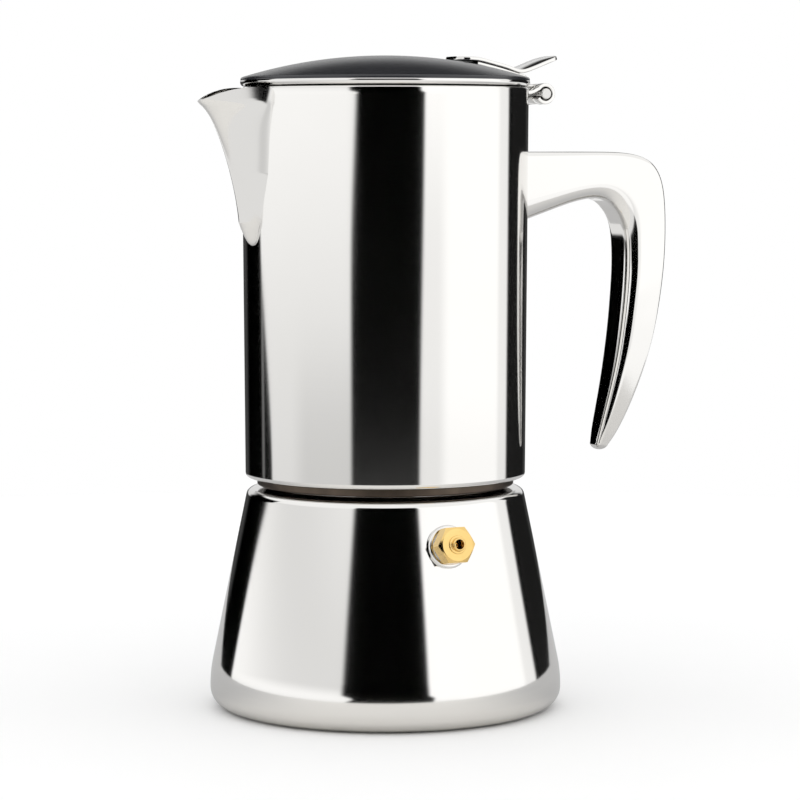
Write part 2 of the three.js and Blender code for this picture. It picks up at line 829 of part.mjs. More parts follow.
function thumbLever() {
  const l = LEVER;
  const lift = SEAT_GAP * 2 + STRAP.sheet;
  const leave = domeHeight(43) + lift;
  const underside = [
    [l.start - 2, domeHeight(l.start - 2) + l.startLift],
    [l.start + 2, domeHeight(l.start + 2) + l.startLift],
    [STRAP.start - 0.5, domeHeight(STRAP.start) + lift],
    ...domeLine(-lift, 31, 41, 4),
    ...l.tab.map(([x, height]) => [x, leave + height]),
  ];
  const strip = slab(sheet(underside, l.sheet), -l.halfWidth - 1, l.halfWidth + 1);
  return strip.intersect(prism(leverPlan(l), LID.pan, LID.domeTop + 15));
}

function lidScrew(x) {
  const s = SCREW;
  const headTop = LID.pan - SEAT_GAP;
  const end = domeHeight(x) + SEAT_GAP + 0.6;
  const turned = lathe([
    [0, headTop - s.headThick],
    [s.head - 0.8, headTop - s.headThick],
    [s.head, headTop - 0.6],
    [s.head, headTop],
    [s.shank, headTop],
    [s.shank, end],
    [0, end],
  ], FINE_TURNS);
  return solid(toGeometry(turned).translate(x, 0, 0));
}

// ---------- assembly ----------

const boilerGroup = new THREE.Group().add(
  part('boiler_shell', boilerShell(), POLISHED_STEEL),
  part('base_disc', baseDisc(), SATIN_STEEL),
  part('valve_boss', valveBoss(), POLISHED_STEEL),
  part('valve_washer', valveWasher(), SILICONE),
  part('valve_body', valveBody(), BRASS),
  part('valve_pin', valvePin(), BRASS),
  part('valve_spring', valveSpring(), SATIN_STEEL),
  part('valve_retainer', valveRetainer(), BRASS),
);

const funnelGroup = new THREE.Group().add(
  part('coffee_basket', coffeeBasket(), SATIN_STEEL),
  part('basket_strainer', basketStrainer(), SATIN_STEEL),
  part('funnel_stem', funnelStem(), SATIN_STEEL),
);

const filterGroup = new THREE.Group().add(
  part('sealing_ring', sealingRing(), SILICONE),
  part('filter_plate', filterPlate(), SATIN_STEEL),
);

const jugGroup = new THREE.Group().add(
  part('jug_wall', jugWall(), POLISHED_STEEL),
  part('spout', spout(), POLISHED_STEEL),
  part('jug_floor', jugFloor(), SATIN_STEEL),
  part('thread_collar', threadCollar(), SATIN_STEEL),
  part('coffee_column', coffeeColumn(), SATIN_STEEL),
  part('column_cap', columnCap(), SATIN_STEEL),
  part('handle', handle(), POLISHED_STEEL),
  part('hinge_bracket', hingeBracket(), POLISHED_STEEL),
  part('hinge_pin', hingePin(), POLISHED_STEEL),
);

const lidGroup = new THREE.Group().add(
  part('lid_disc', lidDisc(), POLISHED_STEEL),
  part('lid_dome', lidDome(), BLACK_PLASTIC),
  part('hinge_strap', hingeStrap(), POLISHED_STEEL),
  part('thumb_lever', thumbLever(), POLISHED_STEEL),
  part('lid_screw_front', lidScrew(SCREW.xs[0]), SATIN_STEEL),
  part('lid_screw_rear', lidScrew(SCREW.xs[1]), SATIN_STEEL),
);

const mokaPot = new THREE.Group().add(boilerGroup, funnelGroup, filterGroup, jugGroup, lidGroup);

export default mokaPot;
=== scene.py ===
# %% [markdown]
# # A stove-top moka pot in polished steel
# A moka pot is a small pressure vessel. Water boils in the lower vessel, steam pushes it up through
# the coffee, and the coffee runs out of a column into the jug. This lesson gives a packed model its
# looks, one piece at a time. The model already holds every size, mount and joint, so each cell reads
# the places it needs from it, makes a smooth piece there, and hands the piece to the body it moves with.

# %% Load the packed model
import math

import bmesh
import bpy
import numpy as np
from mathutils import Matrix, Vector


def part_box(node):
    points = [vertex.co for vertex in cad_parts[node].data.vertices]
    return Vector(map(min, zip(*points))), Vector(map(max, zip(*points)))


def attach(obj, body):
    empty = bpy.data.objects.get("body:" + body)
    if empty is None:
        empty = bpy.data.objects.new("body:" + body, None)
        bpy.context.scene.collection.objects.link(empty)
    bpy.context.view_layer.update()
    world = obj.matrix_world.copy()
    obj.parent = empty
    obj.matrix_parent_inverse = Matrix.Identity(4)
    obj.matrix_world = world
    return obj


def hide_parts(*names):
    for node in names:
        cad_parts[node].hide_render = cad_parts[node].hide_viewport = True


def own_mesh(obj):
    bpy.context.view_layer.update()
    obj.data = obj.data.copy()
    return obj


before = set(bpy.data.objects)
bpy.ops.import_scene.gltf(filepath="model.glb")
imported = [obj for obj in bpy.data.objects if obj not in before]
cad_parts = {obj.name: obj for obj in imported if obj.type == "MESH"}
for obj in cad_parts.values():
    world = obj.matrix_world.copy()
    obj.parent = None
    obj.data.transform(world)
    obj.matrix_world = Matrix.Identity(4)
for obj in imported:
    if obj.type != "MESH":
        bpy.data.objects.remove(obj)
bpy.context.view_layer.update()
MM = 0.001

# %% [markdown]
# ## Outlines
# Most of a moka pot is turned or pressed, so most pieces start as a flat outline in millimetres.
# An outline is a short list of corners, each with its rounding. A polished piece needs more than
# that: where a long flat facet meets a small fillet, the shading of the fillet leaks into the
# facet and bends its reflections. `dense` adds points beside each corner, which keeps it there.


# %% Corners, arcs and dense outlines
LONGEST_CUT = 0.95       # the most of a side that a rounding may use
NEARLY_STRAIGHT = 1.55   # half the angle, in radians, of a corner too open to round
LONGEST_SPAN = 4.0
BESIDE_CORNER = 0.15
ON_AXIS = 1e-6


def arc(across, up, radius, start, stop, steps):
    """Points on an arc, in degrees."""
    angles = np.radians(np.linspace(start, stop, steps + 1))
    return [(across + radius * math.cos(a), up + radius * math.sin(a)) for a in angles]


def corner_arc(before, corner, after, radius, steps):
    """A corner of an outline, cut back to an arc of this radius."""
    here = np.array(corner, float)
    back, on = np.array(before, float) - here, np.array(after, float) - here
    room = LONGEST_CUT * min(np.linalg.norm(back), np.linalg.norm(on))
    back, on = back / np.linalg.norm(back), on / np.linalg.norm(on)
    half = math.acos(np.clip(back @ on, -1, 1)) / 2
    if radius <= 0 or half > NEARLY_STRAIGHT:
        return [corner]
    cut = min(radius / math.tan(half), room)
    radius = cut * math.tan(half)
    middle = (back + on) / np.linalg.norm(back + on) * radius / math.sin(half)
    first = back * cut - middle
    turn = (math.pi - 2 * half) * (1 if back[0] * on[1] < back[1] * on[0] else -1)
    points = []
    for share in np.linspace(0, 1, steps + 1):
        c, s = math.cos(turn * share), math.sin(turn * share)
        spoke = np.array([first[0] * c - first[1] * s, first[0] * s + first[1] * c])
        points.append(tuple(here + middle + spoke))
    return points


def rounded(corners, steps=8):
    """A closed outline from corners, each (across, up) or (across, up, rounding)."""
    points = []
    for i, corner in enumerate(corners):
        radius = corner[2] if len(corner) > 2 else 0
        ends = corners[i - 1][:2], corners[(i + 1) % len(corners)][:2]
        points += corner_arc(ends[0], corner[:2], ends[1], radius, steps)
    return points


def band(inner, outer, low, high, roundings):
    """The four corners of a rectangular section, with their roundings from the inner lower one on."""
    corners = [(inner, low), (outer, low), (outer, high), (inner, high)]
    return [(*corner, rounding) for corner, rounding in zip(corners, roundings)]


def dense(outline):
    """The same closed outline with extra points beside its corners and along its straight sides."""
    points = []
    for here, there in zip(outline, outline[1:] + outline[:1]):
        a, b = np.array(here, float), np.array(there, float)
        length = np.linalg.norm(b - a)
        points.append(tuple(a))
        if length < 6 * BESIDE_CORNER or max(a[0], b[0]) < ON_AXIS:
            continue
        beside = BESIDE_CORNER / length
        spans = max(2, math.ceil(length / LONGEST_SPAN))
        shares = [beside, *np.linspace(0, 1, spans + 1)[1:-1], 1 - beside]
        points += [tuple(a + (b - a) * share) for share in shares]
    return points


def offset_line(line, distance):
    """A line moved sideways, to the left of its direction of travel."""
    points = np.array(line, float)
    step = np.diff(points, axis=0)
    step /= np.linalg.norm(step, axis=1)[:, None]
    before, after = np.vstack([step[:1], step]), np.vstack([step, step[-1:]])
    scale = distance / (1 + (before * after).sum(axis=1))
    normal = np.stack([-(before + after)[:, 1], (before + after)[:, 0]], axis=1)
    return [tuple(p) for p in points + normal * scale[:, None]]


def sheet(line, thickness):
    """A closed outline of even thickness that follows a line."""
    return [*line, *reversed(offset_line(line, thickness))]


def spline(points, steps):
    """A line through the points as natural cubics, so that its curvature has no jumps."""
    p = np.array(points, float)
    t = np.concatenate([[0], np.cumsum(np.linalg.norm(np.diff(p, axis=0), axis=1) ** 0.5)])
    gap = np.diff(t)
    bend, pull = np.eye(len(p)), np.zeros_like(p)
    for i in range(1, len(p) - 1):
        bend[i, i - 1:i + 2] = gap[i - 1], 2 * (gap[i - 1] + gap[i]), gap[i]
        pull[i] = 6 * ((p[i + 1] - p[i]) / gap[i] - (p[i] - p[i - 1]) / gap[i - 1])
    curve = np.linalg.solve(bend, pull)
    at = np.linspace(0, t[-1], steps + 1)
    k = np.clip(np.searchsorted(t, at, "right") - 1, 0, len(p) - 2)
    b = ((at - t[k]) / gap[k])[:, None]
    a = 1 - b
    square = (gap[k] ** 2 / 6)[:, None]
    return a * p[k] + b * p[k + 1] + ((a ** 3 - a) * curve[k] + (b ** 3 - b) * curve[k + 1]) * square


# %% [markdown]
# ## From outlines to meshes
# Three helpers make nearly every piece. `turned` spins an outline round the pot's axis, as a lathe
# or a spinning tool does. `skinned` joins rings of points, for shapes that change along their
# length. `strip` sweeps a rounded rectangle along a line, for bent sheet metal.
# They write plain meshes, closed and facing outwards, with their place in the mesh.


# %% Meshes from rings
SHARP = 32         # degrees between two faces, past which their edge stays sharp
CARVED_SHARP = 30
WELD = 1e-7


def placed(name, data):
    """A new object in the scene."""
    thing = bpy.data.objects.new(name, data)
    bpy.context.scene.collection.objects.link(thing)
    return thing


def shaded(mesh, sharp):
    """Smooth shading, except at edges sharper than this angle."""
    mesh.polygons.foreach_set("use_smooth", [True] * len(mesh.polygons))
    mesh.set_sharp_from_angle(angle=math.radians(sharp))


def settled(piece):
    """Keeps what a piece's modifiers make of it as its own mesh."""
    result = piece.evaluated_get(bpy.context.evaluated_depsgraph_get())
    mesh = bpy.data.meshes.new_from_object(result)
    piece.modifiers.clear()
    piece.data = mesh
    return mesh


def made(name, vertices, faces, sharp=SHARP, place=None):
    """A closed mesh object from millimetre points, facing outwards."""
    mesh = bpy.data.meshes.new(name)
    mesh.from_pydata([tuple(float(c) * MM for c in v) for v in vertices], [], faces)
    body = bmesh.new()
    body.from_mesh(mesh)
    bmesh.ops.remove_doubles(body, verts=body.verts, dist=WELD)
    if body.calc_volume(signed=True) < 0:
        bmesh.ops.reverse_faces(body, faces=body.faces)
    body.to_mesh(mesh)
    body.free()
    if place is not None:
        mesh.transform(place)
    shaded(mesh, sharp)
    return placed(name, mesh)


def turned(name, corners, turns=192, steps=8, place=None):
    """An outline of (radius, height) corners spun round the Z axis."""
    outline = dense(rounded(corners, steps))
    angles = np.linspace(0, 2 * math.pi, turns, endpoint=False)
    vertices, rings = [], []
    for radius, height in outline:
        if radius < ON_AXIS:
            rings.append([len(vertices)] * turns)
            vertices.append((0, 0, height))
            continue
        rings.append(list(range(len(vertices), len(vertices) + turns)))
        vertices += [(radius * math.cos(a), radius * math.sin(a), height) for a in angles]
    faces = []
    for low, high in zip(rings, rings[1:] + rings[:1]):
        for i in range(turns):
            j = (i + 1) % turns
            face = list(dict.fromkeys([low[i], low[j], high[j], high[i]]))
            if len(face) > 2:
                faces.append(face)
    return made(name, vertices, faces, place=place)


def skinned(name, rings, sharp=SHARP, loop=False):
    """Rings of points joined into a closed skin, with flat ends unless it loops round."""
    size = len(rings[0])
    vertices = [point for ring in rings for point in ring]
    faces = []
    pairs = list(zip(range(len(rings)), range(1, len(rings))))
    for k, n in pairs + ([(len(rings) - 1, 0)] if loop else []):
        for i in range(size):
            j = (i + 1) % size
            faces.append([k * size + i, k * size + j, n * size + j, n * size + i])
    if not loop:
        faces.append(list(reversed(range(size))))
        faces.append([(len(rings) - 1) * size + i for i in range(size)])
    return made(name, vertices, faces, sharp)


def strip(name, line, thickness, low, high, edge=0.22):
    """Sheet metal bent along a line of (x, z), reaching from y = low to y = high at each point."""
    points = np.array(line, float)
    along = np.gradient(points, axis=0)
    along /= np.linalg.norm(along, axis=1)[:, None]
    low, high = np.broadcast_to(low, len(points)), np.broadcast_to(high, len(points))
    rings = []
    for (x, z), (ax, az), near, far in zip(points, along, low, high):
        half = thickness / 2
        section = rounded(band(-half, half, near, far, [edge] * 4), 3)
        rings.append([(x - az * s, y, z + ax * s) for s, y in section])
    return skinned(name, rings)


def carved(piece, tool, operation="DIFFERENCE"):
    """Cuts or joins two closed pieces and keeps the result as the first one's mesh."""
    change = piece.modifiers.new("carve", "BOOLEAN")
    change.operation, change.solver, change.object = operation, "EXACT", tool
    mesh = settled(piece)
    bpy.data.objects.remove(tool)
    shaded(mesh, CARVED_SHARP)
    return piece


def joined(first, *others):
    """Several pieces as one object."""
    body = bmesh.new()
    for piece in (first, *others):
        body.from_mesh(piece.data)
    body.to_mesh(first.data)
    body.free()
    for piece in others:
        bpy.data.objects.remove(piece)
    return first


def corners_of(node):
    """The lowest and highest corner of one of the packed solids, in millimetres."""
    return tuple(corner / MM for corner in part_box(node))


# %% [markdown]
# ## Node trees as arithmetic
# Materials, the studio and the repeated parts are all node trees. Building them link by link is
# hard to read, so one small class wraps an output socket and turns Python's operators into Math
# nodes. Everything else comes from a single method, `node`.


# %% A wrapper for node trees
class Value:
    """One output of a node. Arithmetic on it adds Math nodes to its tree."""

    def __init__(self, tree, socket):
        self.tree, self.socket = tree, socket

    def __add__(self, other):
        return self.tree.math("ADD", self, other)

    def __sub__(self, other):
        return self.tree.math("SUBTRACT", self, other)

    def __rsub__(self, other):
        return self.tree.math("SUBTRACT", other, self)

    def __mul__(self, other):
        return self.tree.math("MULTIPLY", self, other)

    def __truediv__(self, other):
        return self.tree.math("DIVIDE", self, other)

    def __pow__(self, other):
        return self.tree.math("POWER", self, other)

    __radd__ = __add__

    def other(self, output):
        """Another output of the same node."""
        return Value(self.tree, self.socket.node.outputs[output])

    def step(self, low, high):
        """0 below low and 1 above high, with a smooth change between them."""
        ends = {"Value": self, "From Min": low, "From Max": high}
        return self.tree.node("ShaderNodeMapRange", {"interpolation_type": "SMOOTHSTEP"}, ends)

    def within(self, low, high, soft):
        """1 between low and high, 0 outside them."""
        return self.step(low - soft, low + soft) * (1 - self.step(high - soft, high + soft))


class Tree:
    """A node tree, and the one method that adds nodes to it."""

    def __init__(self, tree):
        self.tree = tree

    def node(self, kind, settings=None, values=None, output=0):
        """Adds a node: its settings first, then the values or links of its sockets."""
        node = self.tree.nodes.new(kind)
        for name, setting in (settings or {}).items():
            setattr(node, name, setting)
        for name, value in (values or {}).items():
            for one in value if isinstance(value, list) else [value]:
                self.feed(node.inputs[name], one)
        return Value(self, node.outputs[output]) if node.outputs else node

    def geo(self, kind, values=None):
        """A Geometry Nodes node that needs no settings."""
        return self.node("GeometryNode" + kind, values=values)

    def feed(self, socket, value):
        if isinstance(value, Value):
            self.tree.links.new(value.socket, socket)
        else:
            socket.default_value = value

    def math(self, operation, *values):
        return self.node("ShaderNodeMath", {"operation": operation}, dict(enumerate(values)))

    def vector(self, x, y, z):
        return self.node("ShaderNodeCombineXYZ", values={"X": x, "Y": y, "Z": z})

    def polar(self, angle, reach, height):
        """A point at this angle round the Z axis and this far from it."""
        cosine, sine = self.math("COSINE", angle), self.math("SINE", angle)
        return self.vector(reach * cosine, reach * sine, height)


print("operators ready:", [name for name in vars(Value) if name.startswith("__r")])

# %% [markdown]
# ## Growing repeated parts
# Holes in a filter, a thread, a spring or a row of screws follow a rule, so Geometry Nodes make
# them. `grown` builds the tree, gives it named inputs, sets them on the modifier, and keeps the
# result as a plain mesh. Nothing stays live, because a finished piece has to be a mesh.


# %% Run a Geometry Nodes recipe
def grown(name, recipe, sizes, material, sharp=SHARP):
    """A piece made by a recipe, whose sizes are the inputs of a Geometry Nodes modifier."""
    group = bpy.data.node_groups.new(name, "GeometryNodeTree")
    group.interface.new_socket(name="Geometry", in_out="OUTPUT", socket_type="NodeSocketGeometry")
    identifiers = {}
    for label, size in sizes.items():
        kind = "NodeSocketInt" if isinstance(size, int) else "NodeSocketFloat"
        socket = group.interface.new_socket(name=label, in_out="INPUT", socket_type=kind)
        identifiers[label] = socket.identifier
    tree = Tree(group)
    start = group.nodes.new("NodeGroupInput")
    shape = recipe(tree, {label: Value(tree, start.outputs[label]) for label in sizes})
    shape = tree.geo("RealizeInstances", {"Geometry": shape})
    shape = tree.geo("SetMaterial", {"Geometry": shape, "Material": material})
    tree.node("NodeGroupOutput", values={"Geometry": shape})
    holder = placed(name, bpy.data.meshes.new(name))
    change = holder.modifiers.new("grow", "NODES")
    change.node_group = group
    for label, size in sizes.items():
        change[identifiers[label]] = size
    mesh = settled(holder)
    body = bmesh.new()
    body.from_mesh(mesh)
    bmesh.ops.recalc_face_normals(body, faces=body.faces)
    body.to_mesh(mesh)
    body.free()
    shaded(mesh, sharp)
    print(f"{name}: {len(mesh.vertices)} points from {len(sizes)} sizes")
    return holder


def punched(tree, size):
    """A round plate with rings of holes: one hole, then 6, 12, 18 and so on.

    Rings 1 to n hold 3n(n + 1) holes, so a hole's ring is found by solving that for n.
    """
    index = tree.geo("InputIndex")
    row = tree.math("CEIL", ((index * (4 / 3) + 1) ** 0.5 - 1) * 0.5 - 0.001)
    place = index - row * (row - 1) * 3 - 1
    angle = place / (row * 6) * (2 * math.pi)
    reach = row * size["Row gap"]
    spot = tree.polar(angle, reach, 0)
    count = size["Rows"] * (size["Rows"] + 1) * 3 + 1
    points = tree.geo("Points", {"Count": count, "Position": spot})
    hole = tree.geo("CurvePrimitiveCircle", {"Resolution": 12, "Radius": size["Hole radius"]})
    holes = tree.geo("InstanceOnPoints", {"Points": points, "Instance": hole})
    edge = tree.geo("CurvePrimitiveCircle", {"Resolution": 128, "Radius": size["Radius"]})
    outlines = tree.geo("JoinGeometry", {"Geometry": [edge, holes]})
    outlines = tree.geo("RealizeInstances", {"Geometry": outlines})
    flat = tree.geo("FillCurve", {"Curve": outlines})
    raised = tree.geo("ExtrudeMesh", {"Mesh": flat, "Offset Scale": size["Thickness"], "Individual": False})
    under = tree.geo("FlipFaces", {"Mesh": flat})
    plate = tree.geo("JoinGeometry", {"Geometry": [raised, under]})
    plate = tree.geo("MergeByDistance", {"Geometry": plate, "Distance": 1e-6})
    lift = tree.vector(0, 0, size["Height"])
    return tree.geo("Transform", {"Geometry": plate, "Translation": lift})


def wound(tree, size):
    """A round wire or ridge wound in a helix, used for the threads and the spring."""
    path = tree.geo("CurveSpiral", {
        "Resolution": size["Points a turn"], "Rotations": size["Turns"], "Start Radius": size["Radius"],
        "End Radius": size["Radius"], "Height": size["Pitch"] * size["Turns"]})
    wire = tree.geo("CurvePrimitiveCircle", {"Resolution": 12, "Radius": size["Wire radius"]})
    coil = tree.geo("CurveToMesh", {"Curve": path, "Profile Curve": wire, "Fill Caps": True})
    lift = tree.vector(0, 0, size["Height"])
    return tree.geo("Transform", {"Geometry": coil, "Translation": lift})


def domed(tree, size):
    """A pressed cap: part of a sphere whose edge turns down, with an even wall."""
    grid = tree.geo("MeshGrid", {
        "Size X": 1.0, "Size Y": 1.0, "Vertices X": 193, "Vertices Y": 57})
    where = tree.geo("InputPosition")
    split = tree.node("ShaderNodeSeparateXYZ", values={"Vector": where})
    angle = (split + 0.5) * (2 * math.pi)
    out_share = split.other("Y") + 0.5
    reach = (1 - (1 - out_share) ** 2) * size["Edge radius"]
    past = tree.math("MAXIMUM", reach - size["Edge radius"] + size["Roll"], 0)
    drop = size["Roll"] - (size["Roll"] * size["Roll"] - past * past) ** 0.5
    rise = (size["Sphere"] * size["Sphere"] - reach * reach) ** 0.5
    spot = tree.polar(angle, reach, size["Top"] - size["Sphere"] + rise - drop)
    skin = tree.geo("SetPosition", {"Geometry": grid, "Position": spot})
    skin = tree.geo("MergeByDistance", {"Geometry": skin, "Distance": 1e-6})
    down = tree.vector(0, 0, -1)
    lower = tree.geo("ExtrudeMesh", {
        "Mesh": skin, "Offset": down, "Offset Scale": size["Wall"], "Individual": False})
    lower = tree.geo("FlipFaces", {"Mesh": lower})
    cap = tree.geo("JoinGeometry", {"Geometry": [skin, lower]})
    return tree.geo("MergeByDistance", {"Geometry": cap, "Distance": 1e-6})


def screwed(tree, size):
    """Pan head screws in a row, with a crossed recess in each head."""
    head = tree.geo("MeshCylinder", {
        "Vertices": 40, "Radius": size["Head radius"], "Depth": size["Head height"]})
    slot_size = tree.vector(size["Head radius"] * 1.2, size["Head radius"] * 0.24, size["Head height"])
    bar = tree.geo("MeshCube", {"Size": slot_size})
    sunk = tree.vector(0, 0, size["Head height"] * -0.55)
    bar = tree.geo("Transform", {"Geometry": bar, "Translation": sunk})
    quarter = tree.vector(0, 0, math.pi / 2)
    cross_bar = tree.geo("Transform", {"Geometry": bar, "Rotation": quarter})
    head = tree.geo("MeshBoolean", {"Mesh 1": head, "Mesh 2": [bar, cross_bar]})
    shank = tree.geo("MeshCylinder", {
        "Vertices": 24, "Radius": size["Shank radius"], "Depth": size["Shank length"]})
    up = tree.vector(0, 0, (size["Shank length"] + size["Head height"]) * 0.5 - 0.0001)
    shank = tree.geo("Transform", {"Geometry": shank, "Translation": up})
    screw = tree.geo("JoinGeometry", {"Geometry": [head, shank]})
    first = tree.vector(size["First"], 0, size["Head centre"])
    gap = tree.vector(size["Gap"], 0, 0)
    places = tree.node("GeometryNodeMeshLine", {"mode": "OFFSET"},
                       {"Count": size["Count"], "Start Location": first, "Offset": gap})
    return tree.geo("InstanceOnPoints", {"Points": places, "Instance": screw})


# %% [markdown]
# ## Finishes
# Six finishes cover the pot. Polished steel is nearly a mirror, so what it shows is the room, and
# its own detail is faint: fine polishing lines round the turned faces, and patches that are a
# little duller. Inside, the steel keeps its turning marks, which run in circles, so that noise is
# stretched along the circles by reading only the radius and the height of each point. The collar
# is painted nearly black-brown, as painted shade for the deep gap where it sits. Each finish is a
# short table: its noises, then which of them change its colour, its roughness and its relief.


# %% Material helpers
def finish(name, base, roughness, metallic=0.0):
    """A material with its shader, and a tree wrapper to go on from."""
    material = bpy.data.materials.new(name)
    material.use_nodes = True
    tree = Tree(material.node_tree)
    shader = material.node_tree.nodes["Principled BSDF"]
    shader.inputs["Base Color"].default_value = (*base, 1)
    shader.inputs["Roughness"].default_value = roughness
    shader.inputs["Metallic"].default_value = metallic
    return material, tree, shader


def object_point(tree):
    return tree.node("ShaderNodeTexCoord", output="Object")


def noise(tree, where, scale, detail):
    values = {"Vector": where, "Scale": scale, "Detail": detail}
    return tree.node("ShaderNodeTexNoise", values=values)


def round_marks(tree, where, scale):
    """Noise that is the same all the way round the pot's axis, as turning marks are."""
    x = tree.node("ShaderNodeSeparateXYZ", values={"Vector": where})
    y, z = x.other("Y"), x.other("Z")
    radius = (x * x + y * y) ** 0.5
    return noise(tree, tree.vector(radius * scale, 0, z * scale), 1.0, 2.0)


def blend(tree, share, low, high):
    """A colour between two colours."""
    values = {"Factor": share, "A": (*low, 1), "B": (*high, 1)}
    mixer = tree.tree.nodes.new("ShaderNodeMix")
    mixer.data_type = "RGBA"
    for socket in mixer.inputs:
        if socket.enabled and socket.name in values:
            tree.feed(socket, values[socket.name])
    return Value(tree, next(s for s in mixer.outputs if s.enabled))


def surface(name, metallic, noises, colours, roughness, relief):
    """A finish from its table. A noise is (scale, detail), or one scale for turning marks."""
    by, low, high = colours
    base_roughness, changes = roughness
    material, tree, shader = finish(name, low, base_roughness, metallic)
    point = object_point(tree)
    field = {label: noise(tree, point, *size) if isinstance(size, tuple) else round_marks(tree, point, size)
             for label, size in noises.items()}
    dull = base_roughness
    for label, share in changes.items():
        dull = dull + field[label] * share
    parts, strength, depth = relief
    height = 0.0
    for label, share in parts.items():
        height = height + field[label] * share
    raised = tree.node("ShaderNodeBump", values={"Height": height, "Strength": strength, "Distance": depth})
    tree.feed(shader.inputs["Base Color"], blend(tree, field[by], low, high))
    tree.feed(shader.inputs["Roughness"], dull)
    tree.feed(shader.inputs["Normal"], raised)
    return material


# %% The six finishes
POLISHED = surface(
    "polished_steel", 1.0, {"cloud": (26.0, 4.0), "grain": (900.0, 2.0), "marks": 2200.0},
    colours=("cloud", (0.815, 0.805, 0.79), (0.785, 0.775, 0.75)),
    roughness=(0.055, {"cloud": 0.03, "grain": 0.012, "marks": 0.012}),
    relief=({"marks": 1, "cloud": 6}, 0.05, 0.00002))
TURNED = surface(
    "turned_steel", 1.0, {"marks": 3200.0, "cloud": (40.0, 4.0)},
    colours=("marks", (0.62, 0.61, 0.59), (0.75, 0.74, 0.72)),
    roughness=(0.2, {"marks": 0.14, "cloud": 0.08}),
    relief=({"marks": 1}, 0.35, 0.00005))
# The collar's dark brown is painted shade for the deep gap between the jug and the boiler.
COLLAR_PAINTED_SHADE = surface(
    "steel_painted_shade", 1.0, {"marks": 2600.0, "shade_cloud": (220.0, 4.0)},
    colours=("shade_cloud", (0.14, 0.11, 0.085), (0.06, 0.047, 0.038)),
    roughness=(0.25, {"marks": 0.2}),
    relief=({"marks": 1}, 0.3, 0.00004))
BRASS = surface(
    "polished_brass", 1.0, {"cloud": (160.0, 4.0), "grain": (2600.0, 2.0)},
    colours=("cloud", (0.9, 0.66, 0.27), (0.76, 0.5, 0.17)),
    roughness=(0.1, {"cloud": 0.1, "grain": 0.05}),
    relief=({"grain": 1}, 0.12, 0.00003))
PLASTIC = surface(
    "black_plastic", 0.0, {"grain": (2400.0, 2.0), "cloud": (45.0, 4.0)},
    colours=("cloud", (0.017, 0.018, 0.021), (0.026, 0.027, 0.031)),
    roughness=(0.18, {"cloud": 0.06, "grain": 0.04}),
    relief=({"grain": 1}, 0.25, 0.00003))
RUBBER = surface(
    "silicone", 0.0, {"cloud": (120.0, 4.0), "grain": (3000.0, 2.0)},
    colours=("cloud", (0.86, 0.84, 0.79), (0.77, 0.74, 0.66)),
    roughness=(0.38, {"cloud": 0.15}),
    relief=({"grain": 1}, 0.2, 0.00003))


def fitted(piece, body, material, *nodes):
    """Gives a piece its finish, its body, and the solids that it stands for."""
    piece.data.materials.clear()
    piece.data.materials.append(material)
    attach(piece, body)
    if nodes:
        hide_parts(*nodes)
    points = np.array([v.co for v in piece.data.vertices])
    size = [round(float(side) / MM, 1) for side in np.ptp(points, axis=0)]
    print(f"{piece.name}: {len(piece.data.polygons)} faces, {size} mm, on {body}")
    return piece


def spun(name, body, material, node, corners, **how):
    """A turned piece with its finish, its body and the solid that it stands for."""
    return fitted(turned(name, corners, **how), body, material, node)


# %% [markdown]
# ## The boiler
# The boiler is spun from one sheet: a leaning side, a large rounded foot, a tight shoulder and a
# neck. A lathe profile is the honest way to make it, and the roundings matter more than anything
# else, because each one squeezes the whole room into a thin bright line.

# %% Boiler and heat disc
LEAN = 0.206
_, shell_high = corners_of("boiler_shell")
_, disc_high = corners_of("base_disc")
FOOT_RADIUS, FOOT_EDGE, FOOT_FILLET = 56.6, 54.35, 6.1
SIDE_FILLET = 42.0           # the large sweep from the side into the foot
SHOULDER_TOP, SHOULDER_FILLET = 68.0, 2.4
NECK_RADIUS, WALL = 36.6, 1.2
STAND, FLOOR_UNDER, FLOOR_TOP = 0.3, 2.8, 4.0


def boiler_radius(height):
    return FOOT_RADIUS - LEAN * height


slant = WALL * math.hypot(1, LEAN)
recess = disc_high.x + 0.3
spun("boiler", "boiler", POLISHED, "boiler_shell", [
    (0, FLOOR_UNDER),
    (recess, FLOOR_UNDER, 0.3),
    (recess, STAND, 0.4),
    (FOOT_EDGE, STAND, FOOT_FILLET),
    (FOOT_EDGE, (FOOT_RADIUS - FOOT_EDGE) / LEAN, SIDE_FILLET),
    (boiler_radius(SHOULDER_TOP), SHOULDER_TOP, SHOULDER_FILLET),
    (NECK_RADIUS, SHOULDER_TOP, 1.0),
    (NECK_RADIUS, shell_high.z, 0.4),
    (NECK_RADIUS - WALL, shell_high.z, 0.4),
    (NECK_RADIUS - WALL, SHOULDER_TOP - WALL, 0.8),
    (boiler_radius(SHOULDER_TOP - WALL) - slant, SHOULDER_TOP - WALL, SHOULDER_FILLET - WALL),
    (boiler_radius(FLOOR_TOP) - slant, FLOOR_TOP, 6.4),
    (0, FLOOR_TOP),
], turns=256, steps=16)

spun("heat_disc", "boiler", TURNED, "base_disc", [
    (0, 0), (disc_high.x - 0.5, 0, 0.3), (disc_high.x, 0.5, 0.3),
    (disc_high.x, disc_high.z, 0.2), (0, disc_high.z),
])

# %% [markdown]
# ## The neck's thread
# The neck's thread is rolled into the sheet, so it is a round ridge and not a cut one. It winds
# up to the right, because everyone expects the pot to open anticlockwise. A helix is a rule, so
# Geometry Nodes wind it.

# %% Neck thread
PITCH = 4.0
RIDGE, RIDGE_SUNK = 0.75, 0.2     # the ridge's radius, and how far its middle lies in the metal
THREAD_LOW = 71.0


def thread(name, radius, low, turns):
    sizes = {"Turns": turns, "Pitch": PITCH * MM, "Radius": radius * MM,
             "Wire radius": RIDGE * MM, "Height": low * MM, "Points a turn": 96}
    return grown(name, wound, sizes, TURNED)


